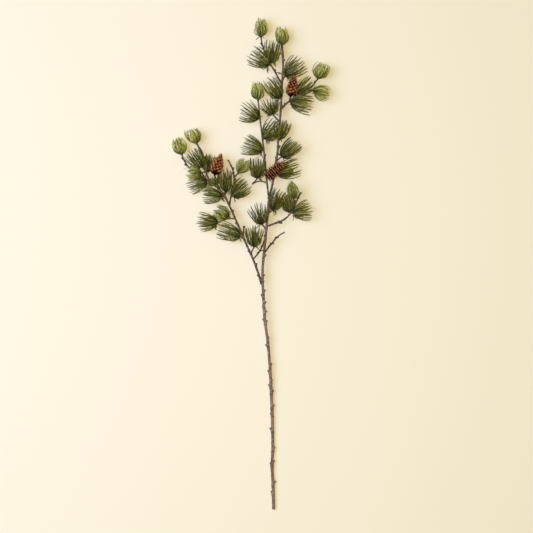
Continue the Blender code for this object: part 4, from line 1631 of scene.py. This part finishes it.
    def build(self, needle: bpy.types.Material, bark: bpy.types.Material) -> bpy.types.Object:
        """Make the tuft's piece and put it in its solid's place.

        Args:
            needle: The needles' finish.
            bark: The spur's finish.

        Returns:
            The piece.
        """
        mould = Mould()
        self.needles(mould)
        self.spur(mould)
        piece = mould.piece(self.node + "_needles", [needle, bark])
        return placed(piece, self.node)


# ------------------------------------------------------------------------------- cones


class Opening(Enum):
    """How far a cone's scales have opened."""

    CLOSED = "scales pressed close"
    LOOSE = "scales loosened, with gaps"
    OPEN = "scales standing out in rows"


@dataclass(frozen=True)
class ScaleHabit:
    """How the scales of a cone stand.

    The midline is four control points of a scale's middle: shares of the cone's radius
    there and of the scale's own length.
    """

    scales: int
    rows: int                   # level rows; none is a spiral
    length: float               # of a scale, against the cone's
    breadth: float              # half a scale's, against the cone's radius
    midline: tuple[tuple[float, float], ...]
    splay: float                # how much further out the lowest scales may stand
    blunt: float                # the share of a scale below its rounded lip
    glow: float                 # how far a lip gets to its palest colour
    stoutness: float            # of the core the scales stand on
    fullness: float = 1.0       # below one, the outline is filled out at both ends


SCALE_HABITS = {
    Opening.CLOSED: ScaleHabit(
        scales=60, rows=0, length=0.22, breadth=0.42, blunt=0.70,
        midline=((0.30, 0.0), (0.80, 0.02), (0.98, 0.45), (1.06, 1.0)), splay=0.30, glow=0.99,
        stoutness=1.2,
    ),
    Opening.LOOSE: ScaleHabit(
        scales=66, rows=0, length=0.20, breadth=0.40, blunt=0.70,
        midline=((0.30, 0.0), (0.80, 0.0), (1.06, 0.34), (1.14, 0.95)), splay=0.14, glow=0.93,
        stoutness=1.4, fullness=0.76,
    ),
    Opening.OPEN: ScaleHabit(
        scales=105, rows=10, length=0.085, breadth=0.72, blunt=0.88,
        midline=((0.25, 0.0), (0.66, -0.1), (1.06, 0.05), (1.16, 0.36)), splay=0.05, glow=1.02,
        stoutness=1.85,
    ),
}


# A cone's core: shares of the cone's length, of its radius there, and how far along a
# scale its colour is taken from.
CORE_PROFILE = (
    (0.02, 0.30, 0.15), (0.08, 0.42, 0.15), (0.3, 0.45, 0.15), (0.6, 0.42, 0.15),
    (0.8, 0.5, 0.15), (0.88, 0.7, 0.8), (0.95, 0.6, 0.95), (1.0, 0.2, 1.0),
)


@dataclass
class Cone:
    """A cone: thin scales round a core, inside its solid's outline."""

    node: str
    opening: Opening
    ends: np.ndarray            # of the twigs and stubs that may carry it
    rng: np.random.Generator
    solid: Solid
    rings: int = 9
    across: int = 7
    thickness: float = 0.75 * MM
    lip_stand: float = 0.5 * MM         # how far out of the outline the lips come
    neck_radii: tuple = (1.3 * MM, 1.5 * MM)
    axis: np.ndarray = field(init=False)
    side: np.ndarray = field(init=False)
    up: np.ndarray = field(init=False)
    start: np.ndarray = field(init=False)
    foot: np.ndarray = field(init=False)
    length: float = field(init=False)
    steps: np.ndarray = field(init=False)
    widths: np.ndarray = field(init=False)

    OUTLINE_STEPS = 40
    SPOKES = 8
    EVENING = 1.5               # outline steps
    LAST_BELOW = 0.72           # how much of the last scale is below the cone's tip
    CROWDING = 0.45             # how much the scales of a spiral crowd towards its foot
    CROWDING_POWER = 1.4
    ROW_WANDER = 0.004          # of the cone's length
    FEWEST = 3                  # scales in a row
    SMALLEST = 0.40             # how short a scale is where the cone has no width
    SPLAY_END = 2.2             # one over the share of the length that splays
    REACHES = (0.94, 1.05)
    BREADTHS = (0.9, 1.1)
    WANDER = 0.05               # radians round the axis
    WIDEST_TURN = 0.85          # radians from a scale's middle to its edge
    LIP_END = 1.005             # how far along a scale its rounded lip would close
    RIPPLE = 0.02
    DROOP = 0.10                # of a scale's edges, against its half-width
    CURL = 0.14                 # how much nearer the axis its edges are
    ROOT_THICKNESS = 0.8
    THINNING = 0.25             # from root to lip
    SHADES = (0.94, 1.04)
    CORE_SIDES = 12
    CORE_STEP = 4               # millimetres of pattern from ring to ring
    CORE_TONE = 0.1

    def __post_init__(self) -> None:
        """Find the axis, with the end nearest a stalk first."""
        points = self.solid.points - self.solid.points.mean(axis=0)
        middle = self.solid.middle()
        axis = np.linalg.svd(points, full_matrices=False)[2][0]
        heights = (self.solid.points - middle) @ axis
        tips = middle + axis * np.array((heights.min(), heights.max()))[:, None]
        gaps = np.linalg.norm(self.ends[:, None] - tips[None], axis=2)
        stalk, tip = np.unravel_index(gaps.argmin(), gaps.shape)
        self.axis = -axis if tip else axis
        self.start, self.foot = tips[tip], self.ends[stalk]
        self.length = float(heights.max() - heights.min())
        self.side = unit(np.cross(self.axis, UPRIGHT))
        self.up = np.cross(self.side, self.axis)
        self.steps = np.linspace(0.01, 0.99, self.OUTLINE_STEPS)
        widths = np.array([self.slice_radius(step) for step in self.steps])
        hull = [widths[max(0, i - 2):i + 3].max() for i in range(self.OUTLINE_STEPS)]
        widths = smoothed(np.array(hull), self.EVENING)
        fullness = SCALE_HABITS[self.opening].fullness
        self.widths = widths.max() * (widths / widths.max()) ** fullness

    def slice_radius(self, height: float) -> float:
        """The solid's radius.

        Args:
            height: Where, as a share of its length.

        Returns:
            The radius.
        """
        centre = self.start + self.axis * height * self.length
        spokes = [self.spoke(turn) for turn in angles_round(self.SPOKES)]
        return float(np.median([self.solid.exit_from(centre, spoke) for spoke in spokes]))

    def spoke(self, turn: float | np.ndarray) -> np.ndarray:
        """The direction away from the axis at an angle round it."""
        turn = np.asarray(turn)[..., None]
        return self.side * np.cos(turn) + self.up * np.sin(turn)

    def outline(self, height: float | np.ndarray) -> np.ndarray:
        """The cone's radius at shares of its length."""
        return np.interp(height, self.steps, self.widths)

    def places(self, habit: ScaleHabit) -> list[tuple[float, float]]:
        """Where the scales spring from, as shares of the length and angles.

        Args:
            habit: How the scales stand.

        Returns:
            One pair per scale, lowest first.
        """
        last = 1 - habit.length * self.LAST_BELOW
        if not habit.rows:
            shares = np.linspace(0, 1, habit.scales)
            heights = (1 - self.CROWDING) * shares + self.CROWDING * shares**self.CROWDING_POWER
            return [(last * height, i * GOLDEN_ANGLE) for i, height in enumerate(heights)]
        found = []
        for row in range(habit.rows):
            height = last * row / (habit.rows - 1)
            shrink = float(self.outline(height + habit.length / 2)) / self.widths.max()
            count = max(self.FEWEST, round(habit.scales / habit.rows * shrink))
            found += [
                (height + self.rng.normal(0, self.ROW_WANDER), (k + row % 2 / 2) * math.tau / count)
                for k in range(count)
            ]
        return found

    def scale(self, mould: Mould, height: float, turn: float, habit: ScaleHabit) -> None:
        """Loft one scale: a curved shell, rounded and thin at its lip.

        Args:
            mould: Where it goes.
            height: How far up the axis it springs, as a share of the length.
            turn: The angle round the axis.
            habit: How the scales stand.
        """
        s = np.sin(np.linspace(0, math.pi / 2, self.rings)) ** 0.9
        weights = ((1 - s) ** 3, 3 * (1 - s) ** 2 * s, 3 * (1 - s) * s**2, s**3)
        out, rise = (sum(w * c for w, c in zip(weights, column)) for column in zip(*habit.midline))
        radius = float(self.outline(height + habit.length))
        size = self.SMALLEST + (1 - self.SMALLEST) * radius / self.widths.max()
        lowness = max(0.0, 1 - self.SPLAY_END * height)
        splay = habit.splay * self.rng.uniform(0, 1) * lowness * s**2
        out = out * (radius + self.lip_stand) * self.rng.uniform(*self.REACHES) * (1 + splay)
        rise = height * self.length + rise * habit.length * self.length * size * (1 - splay)
        widest = habit.breadth * radius * self.rng.uniform(*self.BREADTHS)
        lip = (s - habit.blunt) / (self.LIP_END - habit.blunt)
        half = widest * np.where(
            s < habit.blunt,
            0.5 + 0.5 * np.sin(s / habit.blunt * math.pi / 2),
            np.sqrt(np.clip(1 - lip**2, 0.01, 1)),
        )
        q = np.linspace(-1, 1, self.across)
        spread = np.clip(q[None] * (half / out)[:, None], -self.WIDEST_TURN, self.WIDEST_TURN)
        angle = turn + self.rng.normal(0, self.WANDER) + spread
        ripple = self.rng.normal(0, self.RIPPLE) * q[None] * s[:, None]
        droop = self.DROOP * half[:, None] * q[None] ** 2
        up = rise[:, None] + ripple * self.length - droop
        away = out[:, None] * (1 - self.CURL * q[None] ** 2)
        sheet = self.start + self.axis * up[..., None] + self.spoke(angle) * away[..., None]
        normals = unit(np.cross(np.gradient(sheet, axis=1), np.gradient(sheet, axis=0)))
        thick = self.thickness * (self.ROOT_THICKNESS - self.THINNING * s)[:, None]
        thick = thick * np.sqrt(np.clip(1 - q[None] ** 2, 0.06, 1))
        front = sheet + normals * thick[..., None] / 2
        back = sheet - normals * thick[..., None] / 2
        rings = np.concatenate([front, back[:, ::-1]], axis=1)
        grain = np.zeros(rings.shape)
        grain[..., 0] = np.concatenate([q, q[::-1]])[None] * half[:, None]
        grain[..., 2] = (s * habit.length * self.length)[:, None]
        grain += self.rng.uniform(-1, 1, 3)
        along = s * habit.glow * self.rng.uniform(*self.SHADES)
        mould.add_lofts(rings[None], grain[None], along[None], self.rng.uniform(0, 1, 1))

    def core(self, mould: Mould) -> None:
        """Loft the cone's axis, its pointed end and the neck that joins it to its stalk.

        Args:
            mould: Where they go.
        """
        shares, stands, along = (np.array(column) for column in zip(*CORE_PROFILE))
        radii = self.outline(shares) * stands
        radii *= np.interp(shares, (0.6, 0.88), (SCALE_HABITS[self.opening].stoutness, 1.0))
        centres = self.start + self.axis * (shares * self.length)[:, None]
        neck = np.array([self.foot, self.foot * 0.5 + centres[0] * 0.5])
        centres = np.vstack([neck, centres])
        radii = np.concatenate([self.neck_radii, radii])
        along = np.append(np.full(len(neck), along[0]), along)
        sides, ups = spread_frames(unit(np.gradient(centres, axis=0)))
        around = ring_of(sides, ups, angles_round(self.CORE_SIDES))
        rings = centres[:, None] + around * radii[:, None, None]
        grain = np.zeros(rings.shape)
        grain[..., 2] = np.arange(len(centres))[:, None] * self.CORE_STEP * MM
        mould.add_lofts(rings[None], grain[None], along[None], np.array([self.CORE_TONE]))

    def build(self, finish: bpy.types.Material) -> bpy.types.Object:
        """Make the cone's piece and put it in its solid's place.

        Args:
            finish: The scales' finish.

        Returns:
            The piece.
        """
        mould = Mould()
        self.core(mould)
        habit = SCALE_HABITS[self.opening]
        for height, turn in self.places(habit):
            self.scale(mould, height, turn, habit)
        piece = mould.piece(self.node + "_scales", [finish])
        return placed(piece, self.node)


# ------------------------------------------------------------------------ the whole sprig


def placed(piece: bpy.types.Object, node: str) -> bpy.types.Object:
    """Put a piece in a solid's place.

    Args:
        piece: The new piece.
        node: The solid that it stands for.

    Returns:
        The piece.
    """
    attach(piece, BODY)
    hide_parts(node)
    return piece


@dataclass
class Sprig:
    """The whole sprig: twigs first, then the tufts and cones that they carry."""

    bark: bpy.types.Material
    cut_wood: bpy.types.Material
    needles: dict[Age, bpy.types.Material]
    scales: bpy.types.Material
    twigs: list[Twig] = field(default_factory=list)
    carries: float = 2.5 * MM   # how near a stub's end is to what it carries

    CUT = "main_stem"
    OPENED = {"middle_cone": Opening.OPEN, "upper_cone": Opening.LOOSE}
    TUFTS_FROM = 100            # the numbers that each kind's chance details start from
    CONES_FROM = 300

    def nodes_in(self, slot: str) -> list[str]:
        """The names of the nodes that take a slot's finish, in order."""
        parts = frame["record"]["subparts"]
        return sorted(p["node"] for p in parts if p["material_slot"] == slot)

    def read_twigs(self) -> None:
        """Read every twig, and turn round those whose base is not plain from their scars."""
        for number, node in enumerate(self.nodes_in("bark")):
            rng = np.random.default_rng((SEED, number))
            self.twigs.append(Twig.read(node, rng, cut=node == self.CUT))
        for twig in self.twigs:
            others = np.concatenate([t.line.points for t in self.twigs if t is not twig])
            base, tip = (np.linalg.norm(others - twig.line.points[i], axis=1).min()
                         for i in (0, -1))
            if not twig.sure and tip < base:
                twig.line = twig.line.turned()
            twig.lean_scars()

    def carried_at(self, place: np.ndarray) -> None:
        """Make a stub that ends at a place a spur, if there is one.

        Args:
            place: Where a tuft or a cone starts.
        """
        for twig in self.twigs:
            for growth in twig.growths:
                if np.linalg.norm(growth.tip - place) < self.carries:
                    growth.kind = GrowthKind.SPUR

    def build(self) -> None:
        """Make every piece, and report it."""
        self.read_twigs()
        cones = [Solid(node) for node in self.nodes_in("cone_scale")]
        ends = np.array([twig.line.points[-1] for twig in self.twigs]
                        + [growth.tip for twig in self.twigs for growth in twig.growths])
        for slot, age in (("dark_needle", Age.GROWN), ("pale_needle", Age.YOUNG)):
            for number, node in enumerate(self.nodes_in(slot)):
                rng = np.random.default_rng((SEED, self.TUFTS_FROM + number, age is Age.GROWN))
                tuft = Tuft(node, age, rng, Solid(node), cones)
                self.carried_at(tuft.base)
                self.report(tuft.build(self.needles[age], self.bark))
        for number, node in enumerate(self.nodes_in("cone_scale")):
            rng = np.random.default_rng((SEED, self.CONES_FROM + number))
            opening = self.OPENED.get(node, Opening.CLOSED)
            cone = Cone(node, opening, ends, rng, Solid(node))
            self.carried_at(cone.foot)
            self.report(cone.build(self.scales))
        for twig in self.twigs:
            self.report(twig.build(self.bark, self.cut_wood))

    def report(self, piece: bpy.types.Object) -> None:
        """Log a piece's size and triangles.

        Args:
            piece: The piece.
        """
        size = ", ".join(f"{side / MM:.1f}" for side in piece.dimensions)
        triangles = sum(len(p.vertices) - 2 for p in piece.data.polygons)
        log.info("%s: %s mm, %d triangles", piece.name, size, triangles)


# ------------------------------------------------------------------------------ studio


@dataclass
class Studio:
    """A plain pale floor, a broad soft lamp to the left, a small one overhead, fill and a camera.

    Sizes are in metres, powers in watts.
    """

    floor: bpy.types.Material
    floor_size: float = 12.0
    floor_drop: float = 0.1 * MM        # below the level that the sprig lies on
    key: tuple = (-1.90, 0.16, 2.38)
    key_size: float = 2.6
    key_power: float = 59.5
    key_colour: tuple = (0.84, 1.0, 1.56)
    overhead: tuple = (0.03, 0.0, 3.5)
    overhead_size: float = 0.5
    overhead_power: float = 68.5
    overhead_colour: tuple = (0.95, 0.82, 0.50)
    fill: float = 0.165
    fill_colour: tuple = (1.0, 0.87, 0.14)
    camera_height: float = 3.6
    frame_width: float = 0.9165         # of what the camera sees at the sprig's level
    aim: tuple = (0.0274, -0.0030)      # the place straight below the camera
    sensor: float = 36.0                # in millimetres, as cameras have it

    def lay_floor(self) -> None:
        """Lay a wide floor just under the sprig."""
        half = self.floor_size / 2
        corners = [(-half, -half), (half, -half), (half, half), (-half, half)]
        mesh = bpy.data.meshes.new("floor")
        mesh.from_pydata([(x, y, -self.floor_drop) for x, y in corners], [], [(0, 1, 2, 3)])
        mesh.materials.append(self.floor)
        floor = bpy.data.objects.new("floor", mesh)
        bpy.context.scene.collection.objects.link(floor)

    def hang_lamp(
        self, name: str, place: tuple, size: float, power: float, colour: tuple
    ) -> None:
        """Hang a square soft lamp aimed at the sprig.

        Args:
            name: The lamp's name.
            place: Where it hangs.
            size: Its side.
            power: Its power in watts.
            colour: Its tint.
        """
        light = bpy.data.lights.new(name, "AREA")
        light.shape = "SQUARE"
        light.size = size
        light.energy = power
        light.color = colour
        lamp = bpy.data.objects.new(name, light)
        lamp.location = place
        lamp.rotation_euler = (-Vector(place)).to_track_quat("-Z", "Y").to_euler()
        bpy.context.scene.collection.objects.link(lamp)

    def light_world(self) -> None:
        """Give even fill, and a backdrop of the floor's colour where it is looked at."""
        world = bpy.data.worlds.new("fill")
        world.use_nodes = True
        nodes, links = world.node_tree.nodes, world.node_tree.links
        fill = nodes["Background"]
        fill.inputs["Color"].default_value = (*self.fill_colour, 1)
        fill.inputs["Strength"].default_value = self.fill
        seen = nodes.new("ShaderNodeBackground")
        seen.inputs["Color"].default_value = (*BACKDROP, 1)
        mix = nodes.new("ShaderNodeMixShader")
        links.new(seen_share(world.node_tree), mix.inputs[0])
        links.new(fill.outputs[0], mix.inputs[1])
        links.new(seen.outputs[0], mix.inputs[2])
        links.new(mix.outputs[0], nodes["World Output"].inputs["Surface"])
        bpy.context.scene.world = world

    def set_camera(self) -> None:
        """Set up a camera that looks straight down on the sprig."""
        lens = bpy.data.cameras.new("overhead")
        lens.sensor_width = self.sensor
        lens.lens = self.sensor * self.camera_height / self.frame_width
        camera = bpy.data.objects.new("overhead", lens)
        camera.location = (*self.aim, self.camera_height)
        bpy.context.scene.collection.objects.link(camera)
        bpy.context.scene.camera = camera

    def build(self) -> None:
        """Set everything up."""
        self.lay_floor()
        self.hang_lamp("key_lamp", self.key, self.key_size, self.key_power, self.key_colour)
        self.hang_lamp(
            "overhead_lamp", self.overhead, self.overhead_size, self.overhead_power,
            self.overhead_colour,
        )
        self.light_world()
        self.set_camera()
        bpy.context.scene.view_settings.view_transform = "Standard"


def main() -> None:
    """Build the studio and the sprig, and report each piece."""
    logging.basicConfig(level=logging.INFO, format="%(message)s")
    dark = NeedleFinish(
        "dark_needle",
        foot=(0.040, 0.033, 0.003), shade=(0.018, 0.022, 0.004), body=(0.070, 0.081, 0.025),
        tip=(0.112, 0.105, 0.011), band_and_sheen=(0.175, 0.19, 0.044),
    )
    pale = NeedleFinish(
        "pale_needle",
        foot=(0.065, 0.075, 0.006), shade=(0.066, 0.086, 0.008), body=(0.260, 0.286, 0.046),
        tip=(0.40, 0.41, 0.068), band_and_sheen=(0.44, 0.47, 0.15), shade_at=0.36, body_at=0.74,
        darkest=(0.02, 0.03, 0.04), common=(1.15, 1.15, 1.15), brightest=(2.2, 2.1, 3.6),
    )
    Studio(FloorFinish().material()).build()
    Sprig(
        BarkFinish().material(),
        CutWoodFinish().material(),
        {Age.GROWN: dark.material(), Age.YOUNG: pale.material()},
        ScaleFinish().material(),
    ).build()


if __name__ == "__main__":
    main()
